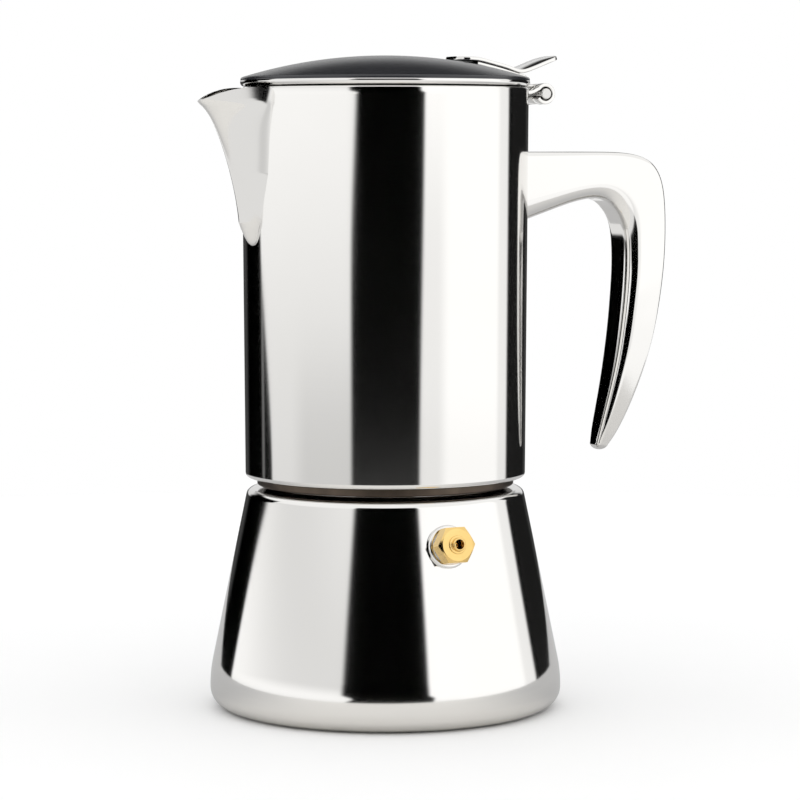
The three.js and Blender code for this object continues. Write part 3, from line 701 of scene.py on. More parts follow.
neck_thread = thread("neck_thread", NECK_RADIUS - RIDGE_SUNK, THREAD_LOW, 1.75)
fitted(neck_thread, "boiler", TURNED)

# %% [markdown]
# ## The safety valve
# Every moka pot has one. If the filter blocks, the pressure lifts a pin against a spring inside
# this brass plug. Seen from outside it is a steel boss, a hexagon with chamfered corners, and a
# small nozzle with a bore. The hexagon and its chamfer are two shapes cut against each other, just
# as the real one is turned from hexagonal bar. Distances along the valve are from the boiler's side.

# %% Valve place
VALVE_HEIGHT = 54.6
TILT = math.atan(LEAN)
VALVE_PLACE = (Matrix.Translation((0, -boiler_radius(VALVE_HEIGHT) * MM, VALVE_HEIGHT * MM))
               @ Matrix.Rotation(math.pi / 2 - TILT, 4, "X"))
BOSS_RADIUS, BOSS_NECK, BOSS_BORE, BOSS_FACE, BOSS_BACK = 6.5, 5.2, 4.1, 1.4, -4.0
HEX_BACK, HEX_LENGTH, ACROSS_FLATS = 2.4, 4.8, 10.5
HEX_FRONT = HEX_BACK + HEX_LENGTH
NOZZLE_RADIUS, NOZZLE_END = 2.0, HEX_FRONT + 1.5
PLUG_RADIUS, PLUG_BACK = 3.85, -7.0
CHAMBER_RADIUS, CHAMBER_FRONT, OUTLET_RADIUS = 2.6, 5.0, 1.4
PIN_HEAD, PIN_STEM, PIN_TIP, HEAD_BACK, HEAD_FRONT = 2.3, 0.9, 5.8, -5.3, -3.9

# %% Valve pieces
spun("valve_seat", "boiler", POLISHED, "valve_boss", [
    (BOSS_BORE, BOSS_BACK, 0.2), (BOSS_NECK, BOSS_BACK, 0.2), (BOSS_NECK, -BOSS_FACE),
    (BOSS_RADIUS, -BOSS_FACE, 0.1), (BOSS_RADIUS, BOSS_FACE, 0.7), (BOSS_BORE, BOSS_FACE, 0.2),
], turns=96, place=VALVE_PLACE)

seal_back, seal_front = BOSS_FACE + 0.15, HEX_BACK - 0.15
seal_section = band(BOSS_BORE, BOSS_NECK - 0.1, seal_back, seal_front, (0.1, 0.3, 0.3, 0.1))
spun("valve_seal", "boiler", RUBBER, "valve_washer", seal_section, turns=64, place=VALVE_PLACE)


def brass_plug():
    """The hexagon with its stem and nozzle, hollowed for the pin and the spring."""
    corner = ACROSS_FLATS / 2 / math.cos(math.pi / 6)
    flats = [[(corner * math.cos(math.pi / 3 * i), corner * math.sin(math.pi / 3 * i), z)
              for i in range(6)] for z in (HEX_BACK, HEX_FRONT)]
    plug = skinned("valve_plug", flats)
    chamfer = turned("chamfer", [
        (0, HEX_BACK - 0.01), (corner - 0.4, HEX_BACK - 0.01), (corner + 0.05, HEX_BACK + 0.4),
        (corner + 0.05, HEX_FRONT - 0.7), (corner - 1.25, HEX_FRONT), (0, HEX_FRONT),
    ], turns=96)
    carved(plug, chamfer, "INTERSECT")
    step_radius, step_front = 2.75, HEX_FRONT + 0.35
    stem = turned("stem", [
        (0, PLUG_BACK), (PLUG_RADIUS, PLUG_BACK, 0.3), (PLUG_RADIUS, HEX_BACK + 1),
        (step_radius, HEX_BACK + 1), (step_radius, step_front, 0.2),
        (NOZZLE_RADIUS, step_front, 0.2), (NOZZLE_RADIUS, NOZZLE_END, 0.35), (0, NOZZLE_END),
    ], turns=96)
    carved(plug, stem, "UNION")
    past = 0.2
    bore = turned("bore", [
        (0, PLUG_BACK - 1), (CHAMBER_RADIUS, PLUG_BACK - 1), (CHAMBER_RADIUS, CHAMBER_FRONT),
        (OUTLET_RADIUS, CHAMBER_FRONT), (OUTLET_RADIUS, NOZZLE_END - past),
        (OUTLET_RADIUS + past, NOZZLE_END + past), (0, NOZZLE_END + past),
    ], turns=64)
    carved(plug, bore)
    plug.data.transform(VALVE_PLACE)
    return plug


fitted(brass_plug(), "boiler", BRASS, "valve_body")
spun("valve_needle", "relief_pin", BRASS, "valve_pin", [
    (0, -6.5), (0.6, -6.2, 0.2), (1.2, HEAD_BACK, 0.2), (PIN_HEAD, HEAD_BACK, 0.1),
    (PIN_HEAD, HEAD_FRONT, 0.1), (PIN_STEM, HEAD_FRONT, 0.1), (PIN_STEM, PIN_TIP, 0.3),
    (0, PIN_TIP),
], turns=48, place=VALVE_PLACE)

ring_inner, ring_outer, ring_front = 1.5, CHAMBER_RADIUS - 0.15, HEAD_BACK - 0.15
ring_section = band(ring_inner, ring_outer, PLUG_BACK, ring_front, [0.1] * 4)
spun("valve_retaining_ring", "boiler", BRASS, "valve_retainer", ring_section,
     turns=48, place=VALVE_PLACE)

# %% Valve spring
# The needle's travel would shorten the real spring; here the coil is made once, at rest, and stays with the
# boiler.
SPRING_LOW, SPRING_PITCH, SPRING_TURNS, SPRING_WIRE = -3.5, 1.62, 5.0, 0.25
SPRING_RADIUS, RELIEF_TRAVEL = 1.9, 1.5
spring = grown("valve_coil_spring", wound, {
    "Turns": SPRING_TURNS, "Pitch": SPRING_PITCH * MM, "Radius": SPRING_RADIUS * MM,
    "Wire radius": SPRING_WIRE * MM, "Height": SPRING_LOW * MM, "Points a turn": 24}, TURNED)
spring.data.transform(VALVE_PLACE)
fitted(spring, "boiler", TURNED, "valve_spring")

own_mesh(spring)

# %% [markdown]
# ## The funnel
# The ground coffee lies in a pressed cup with a stem. A plate full of small holes spreads the
# water. The holes sit on rings with six more on each ring, which is the rule that the
# punching tool follows, so the same Geometry Nodes tree makes this plate and the filter above it.

# %% Funnel
_, cup_high = corners_of("coffee_basket")
stem_low, stem_high = corners_of("funnel_stem")
CUP, CUP_SHEET, CUP_BOTTOM = cup_high.x - 1.7, 0.8, 49.0
STEM, STEM_BORE, STEM_HOLE = 5.0, 4.2, 5.15
rim_under = cup_high.z - 0.9
spun("coffee_cup", "funnel", TURNED, "coffee_basket", [
    (STEM_HOLE, CUP_BOTTOM, 0.2), (STEM_HOLE + 1, CUP_BOTTOM, 0.6), (CUP - 1, 56.2, 2.2),
    (CUP, rim_under, 0.5), (cup_high.x, rim_under, 0.3), (cup_high.x, cup_high.z, 0.3),
    (CUP - CUP_SHEET, cup_high.z, 0.4), (CUP - CUP_SHEET, 57.6, 0.3), (CUP - 2.2, 57.0, 0.3),
    (STEM_HOLE + 1, CUP_BOTTOM + CUP_SHEET, 0.4), (STEM_HOLE, CUP_BOTTOM + CUP_SHEET, 0.1),
])
spun("water_tube", "funnel", TURNED, "funnel_stem",
     band(STEM_BORE, STEM, stem_low.z, stem_high.z, (0.2, 0.3, 0.1, 0.1)), turns=96)


def plate(name, node, hole_radius, row_gap, rows):
    low, high = corners_of(node)
    sizes = {"Radius": high.x * MM, "Thickness": (high.z - low.z) * MM, "Height": low.z * MM,
             "Hole radius": hole_radius * MM, "Row gap": row_gap * MM, "Rows": rows}
    return grown(name, punched, sizes, TURNED)


strainer = plate("water_strainer", "basket_strainer", hole_radius=0.7, row_gap=3.5, rows=9)
fitted(strainer, "funnel", TURNED, "basket_strainer")

# %% [markdown]
# ## The seal and the filter
# A silicone ring and a finer plate sit under the jug. Both are pressed up into its threaded
# collar, and both ride up with it as the pot is opened.

# %% Seal and filter plate
ring_low, ring_high = corners_of("sealing_ring")
SEAL_INNER = 29.5
spun("silicone_ring", "filter", RUBBER, "sealing_ring",
     band(SEAL_INNER, ring_high.x, ring_low.z, ring_high.z, (0.5, 0.6, 0.6, 0.5)))
fine_plate = plate("coffee_filter", "filter_plate", hole_radius=0.55, row_gap=3.2, rows=9)
fitted(fine_plate, "filter", TURNED, "filter_plate")

# %% [markdown]
# ## The jug's wall
# The jug is a drawn cup that widens a little towards the top, with a turned-in lower edge and a
# cut in its wall behind the spout. A boolean cut would leave ragged shading on such a mirror.
# The wall is built in columns instead: each column stops at the rim, or at the edge of the cut.

# %% The spout's rule
jug_low, jug_high = corners_of("jug_wall")
JUG_TOP, JUG_BOTTOM = jug_high.z, jug_low.z
JUG_RADIUS, JUG_LOW_RADIUS, JUG_FILLET = jug_high.x, 43.2, 1.4
JUG_WALL, JUG_TURN_IN, RIM_ROUND = 1.0, 39.9, 0.5
SPOUT_APEX, SPOUT_TIP, SPOUT_FRONT = 143.2, 186.2, 61.8
SPOUT_HALF_WIDTH, SPOUT_SHEET, WELD_DEPTH = 12.4, 1.1, 0.6
SPOUT_ROOT, SPOUT_RISE, SPOUT_LIP, RIM_POWER = 4.3, 10.9, 2.3, 2.2
RIDGE_ROUNDING, ROOT_FLARE, NOTCH_CLEARANCE = 0.25, 0.12, 1.0


def jug_radius(height):
    low = JUG_BOTTOM + JUG_FILLET
    return JUG_LOW_RADIUS + (JUG_RADIUS - JUG_LOW_RADIUS) * (height - low) / (JUG_TOP - low)


def spout_share(height):
    """0 where the beak starts, at its lower end, and 1 at its tip's height."""
    return min(max((height - SPOUT_APEX) / (SPOUT_TIP - SPOUT_APEX), 0), 1.2)


def spout_reach(height):
    """How far the ridge stands from the pot's axis: a quick start, a long sweep, then the lip."""
    share = spout_share(height)
    root = SPOUT_ROOT * math.sqrt(min(share / 0.16, 1))
    climb = max(share - 0.05, 0) / 0.95
    sweep, lip = SPOUT_RISE * climb ** 1.8, SPOUT_LIP * min(climb, 1) ** 16
    return JUG_RADIUS - 0.3 + root + sweep + lip


def spout_half(height):
    share = spout_share(height)
    return SPOUT_HALF_WIDTH * min(1, share / 0.5) ** 0.5 * (0.86 + 0.14 * share)


def spout_flank(u):
    """The half width as a share of its root's, where u is 0 on the ridge and 1 at the wall."""
    rounding = 2 * RIDGE_ROUNDING
    body = math.sqrt((u * u + rounding * u) / (1 + rounding))
    return (1 - ROOT_FLARE) * body + ROOT_FLARE * u ** 6


# %% Jug wall in columns
def jug_columns():
    """The wall's sections, all the way round, with narrow columns beside the cut."""
    inset = SPOUT_SHEET + NOTCH_CLEARANCE
    cut_half = spout_half(JUG_TOP) - inset
    edge = math.asin(cut_half / JUG_RADIUS)
    coarse = [a for a in np.linspace(-math.pi, math.pi, 240, endpoint=False)
              if abs(abs(a) - math.pi) > 1.3 * edge]
    fine = math.pi + np.linspace(-1.2, 1.2, 61) * edge
    angles = sorted({round(a % (2 * math.pi), 6) for a in coarse} | {round(a, 6) for a in fine})
    heights = np.linspace(SPOUT_APEX + 6, JUG_TOP, 200)
    halves = [spout_half(h) - inset for h in heights]
    rings = []
    for angle in angles:
        across = abs(JUG_RADIUS * math.sin(angle))
        cut = math.cos(angle) < 0 and across < cut_half
        top = float(np.interp(across, halves, heights)) if cut else JUG_TOP
        rings.append([(r * math.cos(angle), r * math.sin(angle), z) for r, z in jug_outline(top)])
    return rings


def jug_outline(top):
    """The wall's section as (radius, height), stopping at this height."""
    straight = [0, 0.002, 0.02, *np.linspace(0.08, 0.98, 30), 0.998]
    first, last = JUG_BOTTOM + JUG_FILLET, top - 0.35
    heights = [first + (last - first) * share for share in straight]
    foot = arc(JUG_LOW_RADIUS - JUG_FILLET, first, JUG_FILLET, -90, 0, 10)[:-1]
    rim = arc(jug_radius(top) - RIM_ROUND, top - RIM_ROUND, RIM_ROUND, 20, 160, 6)
    inner_foot = arc(JUG_LOW_RADIUS - JUG_FILLET, first, JUG_FILLET - JUG_WALL, 0, -90, 6)[1:]
    outside = [(jug_radius(h), h) for h in heights]
    inside = [(jug_radius(h) - JUG_WALL, h) for h in reversed(heights)]
    return [(JUG_TURN_IN, JUG_BOTTOM), *foot, *outside, *rim, *inside, *inner_foot,
            (JUG_TURN_IN, JUG_BOTTOM + JUG_WALL)]


jug = skinned("jug", jug_columns(), loop=True)
fitted(jug, "jug", POLISHED, "jug_wall")

# %% [markdown]
# ## The spout
# The spout is a separate pressed beak, welded over the cut. Its section is a soft V that grows
# from nothing at the lower end. Rows run up the beak and columns run round it, and each column
# stops where it meets the rim, which climbs from the tip to the wall. The inside is the same
# surface again, moved in by the thickness of the sheet, and the two are joined all round.


# %% Spout
def spout_point(turn, height, inset):
    """A point on the beak: turn goes from 0 on one side, over the ridge at a half, to 1."""
    half = max(spout_half(height) - inset, 0.4)
    wall = math.sqrt((jug_radius(height) - WELD_DEPTH) ** 2 - half ** 2)
    reach = max(spout_reach(height) - inset * 1.25, wall + 0.2)
    share = math.sin(math.pi * turn)
    side = math.copysign(spout_flank(1 - share), 0.5 - turn)
    return (-(wall + (reach - wall) * share), half * side, height)


def spout_rim(turn, inset):
    """The height at which a column of the beak meets its rim."""
    end, height = JUG_TOP - 0.2, SPOUT_TIP
    for _ in range(40):
        out = -spout_point(turn, height, inset)[0]
        share = min(max((SPOUT_FRONT - out) / (SPOUT_FRONT - JUG_RADIUS), 0), 1)
        rim = SPOUT_TIP + (end - SPOUT_TIP) * (1 - (1 - share) ** RIM_POWER)
        height += 0.5 * (rim - height)
    return height


def spout_skin(inset, rows, columns):
    """Rows of points over the beak, closer together at its lower end."""
    low = SPOUT_APEX + inset
    tops = [spout_rim(c / columns, inset) for c in range(columns + 1)]
    shares = [(row / rows) ** 1.5 for row in range(rows + 1)]
    return [[spout_point(c / columns, low + (top - low) * share, inset) for c, top in enumerate(tops)]
            for share in shares]


def spout_piece(rows=90, columns=96):
    outer, inner = spout_skin(0, rows, columns), spout_skin(SPOUT_SHEET, rows, columns)
    loops = [[*a, *reversed(b)] for a, b in zip(outer, inner)]
    return skinned("beak", loops, sharp=40)


fitted(spout_piece(), "jug", POLISHED, "spout")

# %% [markdown]
# ## Inside the jug
# The floor rises to the column, which carries the coffee up. The cap on top has a slot on each
# side. Below the floor, the collar holds the seal and has the other half of the thread.

# %% Floor, collar, column and cap
_, floor_high = corners_of("jug_floor")
FLOOR_SHEET, FLOOR_LIP, FLOOR_FLAT, FLOOR_HOLE = 1.0, 41.9, 86.5, 6.5
spun("jug_bottom", "jug", TURNED, "jug_floor", [
    (FLOOR_HOLE, 98, 0.2), (FLOOR_HOLE, 96, 0.8), (31, FLOOR_FLAT, 3.0),
    (FLOOR_LIP, FLOOR_FLAT, 1.4), (FLOOR_LIP, floor_high.z, 0.3),
    (FLOOR_LIP - FLOOR_SHEET, floor_high.z, 0.3),
    (FLOOR_LIP - FLOOR_SHEET, FLOOR_FLAT + FLOOR_SHEET, 0.6),
    (31.3, FLOOR_FLAT + FLOOR_SHEET, 3.6), (FLOOR_HOLE + FLOOR_SHEET, 96.7, 0.6),
    (FLOOR_HOLE + FLOOR_SHEET, 98, 0.2),
])

collar_low, collar_high = corners_of("thread_collar")
COLLAR_INNER, COLLAR_HOLE = 37.6, 32.0
ceiling = corners_of("filter_plate")[1].z + 0.15
# The collar's dark finish is painted shade for the gap below the jug.
spun("collar", "jug", COLLAR_PAINTED_SHADE, "thread_collar", [
    (COLLAR_INNER, collar_low.z, 0.4), (collar_high.x, collar_low.z, 0.5),
    (collar_high.x, collar_high.z, 0.5), (COLLAR_HOLE, collar_high.z, 0.2), (COLLAR_HOLE, ceiling, 0.2),
    (COLLAR_INNER, ceiling, 0.3),
])
collar_thread = thread("collar_thread", COLLAR_INNER + RIDGE_SUNK, THREAD_LOW + PITCH / 2, 1.25)
fitted(collar_thread, "jug", TURNED)

column_low, column_high = corners_of("coffee_column")
COLUMN_LOW_RADIUS, COLUMN_TOP_RADIUS, COLUMN_WALL = 6.2, 5.4, 1.0
spun("chimney", "jug", TURNED, "coffee_column", [
    (COLUMN_LOW_RADIUS - COLUMN_WALL, column_low.z, 0.1), (COLUMN_LOW_RADIUS, column_low.z, 0.2),
    (COLUMN_TOP_RADIUS, column_high.z, 0.2), (COLUMN_TOP_RADIUS - COLUMN_WALL, column_high.z, 0.2),
], turns=96)


def slotted_cap():
    """The cap over the column, with a slot through both its sides."""
    _, high = corners_of("column_cap")
    outer, inner, bottom, roof = 6.7, 5.7, 156, 164.5
    cap = turned("chimney_cap", [
        (inner, bottom, 0.2), (outer, bottom, 0.3), (outer, roof - 0.5, 0.6), (4.3, high.z, 1.6),
        (0, high.z), (0, roof), (inner, roof, 0.4),
    ], turns=96)
    half, low, top, far = 2.5, 160.6, roof - 0.3, 20
    bar = skinned("slot_tool", [[(x, -half, low), (x, half, low), (x, half, top), (x, -half, top)]
                                for x in (-far, far)])
    return carved(cap, bar)


fitted(slotted_cap(), "jug", TURNED, "column_cap")

# %% [markdown]
# ## The handle
# The handle is a solid casting, polished all over. It leaves the jug level, turns down in a bend
# that is tight inside and open outside, and thins to a rounded tip. It is set out as a
# row of stations, each with an outer point, an inner point and a half width, and cubics run
# through them, because a mirror shows any jump in curvature as a kink.

# %% Handle
HANDLE_STATIONS = [
    ((38, 171.4), (38, 147.5), 7.5), ((46, 171.4), (46, 150.2), 7.5),
    ((56, 171.4), (55, 153.2), 7.5), ((66, 171.4), (63.6, 155.8), 7.5),
    ((75.6, 171.3), (71, 156.7), 7.5), ((83, 170.6), (75.6, 155), 7.5),
    ((89, 168.4), (78.9, 151.2), 7.5), ((92.6, 164), (80.6, 146.5), 7.5),
    ((94.3, 157), (81.2, 140.5), 7.5), ((94.8, 147), (81.2, 134), 7.4),
    ((94.4, 136), (80.7, 126), 7.3), ((93.0, 124), (79.8, 117), 7.0),
    ((90.5, 111.5), (78.4, 107), 6.6), ((87.0, 100), (76.7, 98), 5.8),
    ((82.7, 89.5), (74.8, 89.5), 4.9), ((78.8, 82), (73.3, 83), 4.0),
    ((76.4, 78.4), (72.6, 79.2), 3.2),
]
TIP_REACH = np.array((-0.8, 0, -2.0))
TIP_ANGLES = (12, 24, 36, 48, 60, 70, 80, 86)


def handle_section():
    """The section's outline as (depth from the outer edge, share of the half width)."""
    quarter = np.radians(np.linspace(0, 90, 13))
    outer = [(0.1 - 0.1 * math.cos(a), 0.8 + 0.2 * math.sin(a)) for a in quarter]
    side = [(depth, 1.0) for depth in np.linspace(0.14, 0.64, 9)]
    inner = [(0.68 + 0.32 * math.sin(a), 0.5 + 0.5 * math.cos(a)) for a in quarter]
    half = outer + side + inner
    middle = [(1.0, share) for share in (0.45, 0.25, 0.0, -0.25, -0.45)]
    back = [(0.0, share) for share in (-0.7, -0.4, 0.0, 0.4, 0.7)]
    return half + middle + [(d, -s) for d, s in reversed(half)] + back


def handle_piece(steps=150):
    """The section carried through the stations, then drawn in round the tip."""
    rows = spline([(*outer, *inner, half) for outer, inner, half in HANDLE_STATIONS], steps)
    deepest = jug_radius(160) - WELD_DEPTH - 3
    rings = []
    for ox, oz, ix, iz, half in rows:
        ring = [(ox + (ix - ox) * d, half * s, oz + (iz - oz) * d) for d, s in handle_section()]
        if min(p[0] for p in ring) > deepest:
            rings.append(ring)
    last = np.array(rings[-1])
    middle = last.mean(axis=0)
    for angle in np.radians(TIP_ANGLES):
        end = middle + (last - middle) * math.cos(angle) + TIP_REACH * math.sin(angle)
        rings.append([tuple(point) for point in end])
    return skinned("handle_casting", rings, sharp=60)


fitted(handle_piece(), "jug", POLISHED, "handle")

# %% [markdown]
# ## The hinge
# A plate welded on the jug's wall ends in two curled knuckles. The lid's strap curls between
# them, and a plain pin runs through all three. They are bent sheet, so each is a strip along a line.

# %% Hinge
pin_low, pin_high = corners_of("hinge_pin")
HINGE = ((pin_low.x + pin_high.x) / 2, (pin_low.z + pin_high.z) / 2)
PIN_RADIUS = (pin_high.x - pin_low.x) / 2
COIL, KNUCKLE_SHEET = 2.72, 1.1
KNUCKLE_NEAR, KNUCKLE_FAR = 3.9, 7.9
PLATE_LOW, PLATE_HIGH, PLATE_SHEET = 184.6, 190.9, 1.1


def bracket():
    """The welded plate and its two knuckles."""
    inner = JUG_RADIUS + 0.1
    x, z = HINGE
    root = spline([(inner + 0.3, z + 0.5), (inner + 1.6, z + 0.35),
                   (x - 3.6, z + 0.9), (x - 2.6, z + 1.5)], 12)
    arm = [tuple(p) for p in root[:-1]] + arc(x, z, COIL, 146, -150, 44)
    knuckles = [strip("knuckle", arm, KNUCKLE_SHEET, low, high)
                for low, high in ((KNUCKLE_NEAR, KNUCKLE_FAR), (-KNUCKLE_FAR, -KNUCKLE_NEAR))]
    edge = math.asin(KNUCKLE_FAR / inner)
    corners = band(inner - 0.3, inner + PLATE_SHEET, PLATE_LOW, PLATE_HIGH, (0.2, 0.5, 0.5, 0.2))
    section = rounded(corners, 4)
    rings = [[(r * math.cos(a), r * math.sin(a), h) for r, h in section]
             for a in np.linspace(-edge, edge, 25)]
    return joined(skinned("hinge_plate", rings), *knuckles)


fitted(bracket(), "jug", POLISHED, "hinge_bracket")

# %% Hinge axle
along_y = Matrix.Rotation(math.pi / 2, 4, "X")
axle_place = Matrix.Translation((HINGE[0] * MM, 0, HINGE[1] * MM)) @ along_y
spun("hinge_axle", "jug", TURNED, "hinge_pin", [
    (0, pin_low.y), (PIN_RADIUS, pin_low.y, 0.35), (PIN_RADIUS, pin_high.y, 0.35), (0, pin_high.y),
], turns=64, place=axle_place)

# %% [markdown]
# ## The lid
# The lid is a steel pan whose hemmed edge shows as a bright band, with a black plastic dome on
# top. The dome is part of a sphere with a rolled edge. That is a rule, so it comes
# from a Geometry Nodes tree with the sphere, the edge and the wall as its inputs.

# %% Lid pan and dome
_, dome_high = corners_of("lid_dome")
pan_low, _ = corners_of("lid_disc")
DOME_TOP, SPHERE, DOME_EDGE = dome_high.z, 148.0, dome_high.x


PAN, PAN_SHEET, PAN_BEND = 41.0, 0.8, 0.8
FLANGE, FLANGE_BEND = 190.9, 0.4
HEM_MIDDLE, HEM_HEIGHT, HEM = 43.1, 192.6, 1.3


def dome_height(x):
    return DOME_TOP - SPHERE + math.sqrt(SPHERE ** 2 - x ** 2)


flat = PAN - PAN_BEND
pan_line = [(0, pan_low.z), (flat, pan_low.z), *arc(flat, pan_low.z + PAN_BEND, PAN_BEND, -80, 0, 6),
            (PAN, FLANGE), *arc(PAN + FLANGE_BEND, FLANGE, FLANGE_BEND, 180, 90, 5)[1:],
            *arc(HEM_MIDDLE, HEM_HEIGHT, HEM, -90, 60, 18)]
pan = turned("lid_pan", sheet(pan_line, PAN_SHEET), turns=256)
fitted(pan, "lid", POLISHED, "lid_disc")

dome = grown("dome", domed, {
    "Sphere": SPHERE * MM, "Top": DOME_TOP * MM, "Edge radius": DOME_EDGE * MM,
    "Roll": 0.5 * MM, "Wall": 0.6 * MM}, PLASTIC, sharp=60)
fitted(dome, "lid", PLASTIC, "lid_dome")

# %% [markdown]
# ## Strap, lever and screws
# The strap lies on the dome, folds over the edge and curls round the pin. The thumb lever lies on
# the strap and turns up at its end. Its corners are round in plan, so its width follows a circle
# at each end. Two screws hold both from inside the lid.

# %% Strap and lever
STRAP_SHEET, STRAP_START, STRAP_HALF, KNUCKLE_HALF = 1.0, 28.5, 6.4, 3.5
NECK_START, NECK_LENGTH, SEAT_GAP = 45.0, 1.6, 0.15
STRAP_FOLD = [(44.75, 194.6), (45.5, 193.3), (46.7, 192.2), (48.6, 191.75)]
LEVER_SHEET, LEVER_HALF = 1.15, 7.0
LEVER_START, LEVER_TIP = 22.3, 56.8
START_CORNER, TIP_CORNER = 4.0, 3.6


def strap():
    """The strip over the dome, down past its edge and round the pin."""
    x, z = HINGE
    radius = COIL - STRAP_SHEET / 2 + 0.45
    over = [(u, dome_height(u) + SEAT_GAP + STRAP_SHEET / 2) for u in np.linspace(STRAP_START, 42.8, 12)]
    fold = spline([over[-1], *STRAP_FOLD, (x - 0.6, z + radius)], 30)[1:-1]
    coil = arc(x, z, radius, 100, -160, 40)
    line = over + [tuple(p) for p in fold] + coil
    necking = [min(max((u - NECK_START) / NECK_LENGTH, 0), 1) for u, _ in line[:-len(coil)]]
    half = [STRAP_HALF + (KNUCKLE_HALF - STRAP_HALF) * share for share in necking + [1] * len(coil)]
    return strip("lid_strap", line, STRAP_SHEET, [-h for h in half], half, 0.2)


def round_ended(x, start, tip, start_corner, tip_corner, half):
    """The half width of a strip with round corners in plan."""
    cuts = []
    for gap, corner in ((x - start, start_corner), (tip - x, tip_corner)):
        cuts.append(corner - math.sqrt(max(corner ** 2 - max(corner - gap, 0) ** 2, 0)))
    return half - max(cuts)


def lever():
    """The strip on top of the strap, whose end turns up."""
    lift = 2 * SEAT_GAP + STRAP_SHEET + LEVER_SHEET / 2
    leave = dome_height(43) + lift
    knots = [(LEVER_START, dome_height(LEVER_START) + 0.5 + LEVER_SHEET / 2),
             (25, dome_height(25) + 0.8 + LEVER_SHEET / 2), (28.5, dome_height(28.5) + lift),
             (34, dome_height(34) + lift), (39, dome_height(39) + lift), (43, leave + 0.05),
             (46.4, leave + 0.7), (49.4, leave + 1.8), (53, leave + 3.2), (LEVER_TIP, leave + 4.5)]
    line = spline(knots, 120)
    share = (line[:, 0] - line[0, 0]) / (line[-1, 0] - line[0, 0])
    line[:, 0] = LEVER_START + 0.02 + share * (LEVER_TIP - LEVER_START - 0.04)
    half = [round_ended(x, LEVER_START, LEVER_TIP, START_CORNER, TIP_CORNER, LEVER_HALF)
            for x in line[:, 0]]
    return strip("thumb_tab", line, LEVER_SHEET, [-h for h in half], half, 0.3)


fitted(strap(), "lid", POLISHED, "hinge_strap")
fitted(lever(), "lid", POLISHED, "thumb_lever")

# %% Lid screws
screw_low, screw_high = corners_of("lid_screw_front")
rear_low, rear_high = corners_of("lid_screw_rear")
HEAD_HEIGHT, SHANK_RADIUS, SHANK_LENGTH = 1.7, 1.2, 8.0
first_screw, last_screw = (screw_low.x + screw_high.x) / 2, (rear_low.x + rear_high.x) / 2
screws = grown("lid_screws", screwed, {
    "Count": 2, "First": first_screw * MM, "Gap": (last_screw - first_screw) * MM,
    "Head radius": (screw_high.x - screw_low.x) / 2 * MM, "Head height": HEAD_HEIGHT * MM,
    "Head centre": (screw_low.z + HEAD_HEIGHT / 2) * MM, "Shank radius": SHANK_RADIUS * MM,
    "Shank length": SHANK_LENGTH * MM}, TURNED)
fitted(screws, "lid", TURNED, "lid_screw_front", "lid_screw_rear")

# %% [markdown]
# ## The studio
# Polished steel has no look of its own, so the room is half of the picture. Around the pot stand
# two large white panels with a dark card between them, where the camera is, and dark
# cards at the sides. They are painted on the world by direction, measured from the camera's side.
# Matt surfaces get an even white light instead, which gives the floor its soft contact shadow.

# %% Camera side and world
CAMERA_SIDE = math.radians(24)
FRONT = (-math.sin(CAMERA_SIDE), -math.cos(CAMERA_SIDE), 0.0)
RIGHT = (math.cos(CAMERA_SIDE), -math.sin(CAMERA_SIDE), 0.0)


def toward(tree, direction, axis):
    values = {0: direction, 1: axis}
    return tree.node("ShaderNodeVectorMath", {"operation": "DOT_PRODUCT"}, values, output="Value")


# Each row is a start value, then (from, to, change) at heights in degrees above the horizon.
# The first four are the panels' edges, in degrees round the pot: they lean in and out with height.
LEFT_IN = (-27, (-3, 1.5, 6), (1.5, 4, -6.7), (12, 18.5, 3.6))
LEFT_OUT = (-106, (2, 10, 15), (-6.5, -1.5, -15))
RIGHT_IN = (27.4, (-8, 1.5, 4.2), (1.5, 4, -3.4), (13, 18, -1.6))
RIGHT_OUT = (117, (3, 11, 3.5))
LEFT_LEVEL = (0.86, (-8, 1.5, 0.32), (1.5, 11, -0.3), (12, 19, 0.2))
RIGHT_LEVEL = (1.2, (-6.5, -5, 0.08))
BACK_LEVEL = (0.055, (1, 4, 0.72), (14, 23, -0.75))
OVERHEAD, WHITE, TABLE_LEVEL = (25, 30), 1.12, 0.9


def stepped(up, row):
    """The value of a row at this height."""
    start, *changes = row
    value = 0.0
    for low, high, change in changes:
        value = up.step(low, high) * change + value
    return value + start


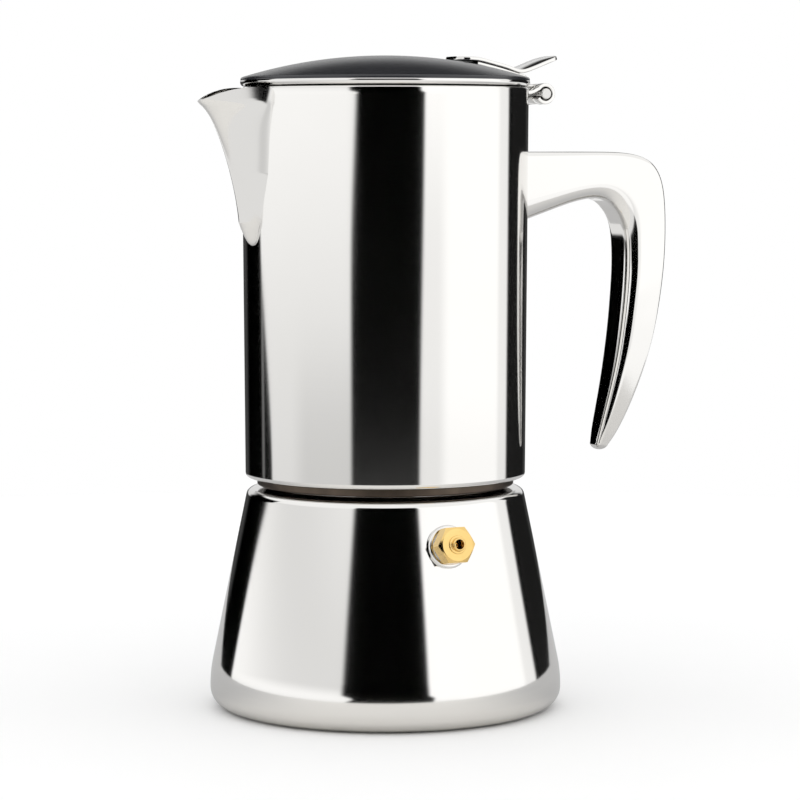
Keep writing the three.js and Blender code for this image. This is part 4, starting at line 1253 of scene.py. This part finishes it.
def panels(tree):
    """How bright the studio is in each direction, by the angle round the pot and the height."""
    direction = tree.node("ShaderNodeTexCoord", output="Generated")
    aside, ahead = toward(tree, direction, RIGHT), toward(tree, direction, FRONT)
    turn = tree.math("ARCTAN2", aside, ahead) * math.degrees(1)
    up = tree.math("ARCSINE", toward(tree, direction, (0.0, 0.0, 1.0))) * math.degrees(1)
    left = (turn - stepped(up, LEFT_OUT)).step(-1.5, 1.5)
    left = left * (1 - (turn - stepped(up, LEFT_IN)).step(-2.5, 1.5))
    right = (turn - stepped(up, RIGHT_IN)).step(-1.2, 1.8)
    right = right * (1 - (turn - stepped(up, RIGHT_OUT)).step(-2.0, 1.5))
    left_dim = turn.within(-75, -20, 10) * (1 - up.step(-6, -4)) * 0.14
    right_dim = turn.within(20, 48, 6) * (1 - up.step(-3, 1)) * 0.22 + turn.within(104, 130, 3) * 0.22
    lit = left * (stepped(up, LEFT_LEVEL) - left_dim) + right * (stepped(up, RIGHT_LEVEL) - right_dim)
    overhead = up.step(*OVERHEAD)
    back = 1 - turn.within(-152, 158, 5)
    seen = lit * (1 - overhead) + overhead * (1 - back) * 1.1
    streak = turn.within(-120.5, -117, 0.8) * (1 - up.step(-3.5, -1)) * 0.18
    dusk = turn.within(122, 158, 3) * 0.012
    seen = seen + streak + dusk + back * (stepped(up, BACK_LEVEL) + up.step(38, 60) * 0.6)
    table = 1 - up.step(-10, -8)
    table_level = turn.within(29, 118, 4) * up.step(-40, -12) * 0.3 + TABLE_LEVEL
    return seen * (1 - table) + table * table_level


def studio_world():
    """The panels for mirrors, even white light for matt surfaces, and white for the camera."""
    world = bpy.data.worlds.new("studio")
    world.use_nodes = True
    tree = Tree(world.node_tree)
    world.node_tree.nodes.clear()
    path = tree.node("ShaderNodeLightPath", output="Is Camera Ray")
    glossy = path.other("Is Glossy Ray")
    strength = glossy * panels(tree) + (1 - glossy) * WHITE
    strength = strength * (1 - path) + path
    light = tree.node("ShaderNodeBackground", values={"Color": (1, 1, 1, 1), "Strength": strength})
    tree.node("ShaderNodeOutputWorld", values={"Surface": light})
    world.cycles.sampling_method = "NONE"
    bpy.context.scene.world = world


studio_world()

# %% [markdown]
# ## Floor and camera
# The floor is a pale disc, large enough for the reflections low on the boiler. The camera stands a
# little above the pot and looks slightly down, through a long lens that keeps its sides upright.


# %% Floor
FLOOR_RADIUS, TABLE_RADIUS, TABLE_LIFT = 0.6, 0.45, 0.00002


def disc(name, radius, height, material, sides=96):
    """A flat stage piece, in metres."""
    angles = np.linspace(0, 2 * math.pi, sides, False)
    rim = [(radius * math.cos(a), radius * math.sin(a), height) for a in angles]
    mesh = bpy.data.meshes.new(name)
    mesh.from_pydata(rim, [], [list(range(sides))])
    mesh.materials.append(material)
    flat_piece = placed(name, mesh)
    return flat_piece


def white_floor():
    """The floor that the camera sees."""
    material, tree, shader = finish("pale_floor", (0.95, 0.95, 0.95), 0.9)
    shade = noise(tree, object_point(tree), 14.0, 3.0)
    tree.feed(shader.inputs["Base Color"], blend(tree, shade, (0.96, 0.96, 0.96), (0.94, 0.94, 0.94)))
    disc("floor", FLOOR_RADIUS, 0, material).visible_glossy = False


def table_top():
    """The floor again, seen only in the steel: a copy with painted shade, greyer than the floor that the
    camera sees and darker towards the sides.
    """
    material, tree, shader = finish("table_top", (0.7, 0.7, 0.69), 0.9)
    flat = tree.node("ShaderNodeVectorMath", {"operation": "NORMALIZE"}, {0: object_point(tree)})
    front = toward(tree, flat, FRONT)
    # Painted shade: brightest on the camera's side, darker towards the sides and the back.
    shade = front.step(-0.2, 1.0) * 0.75 + noise(tree, object_point(tree), 12.0, 2.0) * 0.12
    tree.feed(shader.inputs["Base Color"], blend(tree, shade, (0.5, 0.5, 0.505), (0.93, 0.915, 0.885)))
    table = disc("table_top", TABLE_RADIUS, TABLE_LIFT, material)
    for kind in ("camera", "diffuse", "transmission", "shadow"):
        setattr(table, f"visible_{kind}", False)


white_floor()
table_top()

# %% Camera
# Metres, degrees, and millimetres of lens.
CAMERA = {"distance": 0.95934, "height": 0.17357, "down": 4.684, "aside": 0.272, "lens": 140.16}
camera = placed("camera", bpy.data.cameras.new("camera"))
camera.data.lens = CAMERA["lens"]
camera.data.sensor_width = 36
camera.location = (*[side * CAMERA["distance"] for side in FRONT[:2]], CAMERA["height"])
turned_by = -CAMERA_SIDE - math.radians(CAMERA["aside"])
camera.rotation_euler = (math.radians(90 - CAMERA["down"]), 0, turned_by)
bpy.context.scene.camera = camera
bpy.context.scene.view_settings.view_transform = "Standard"
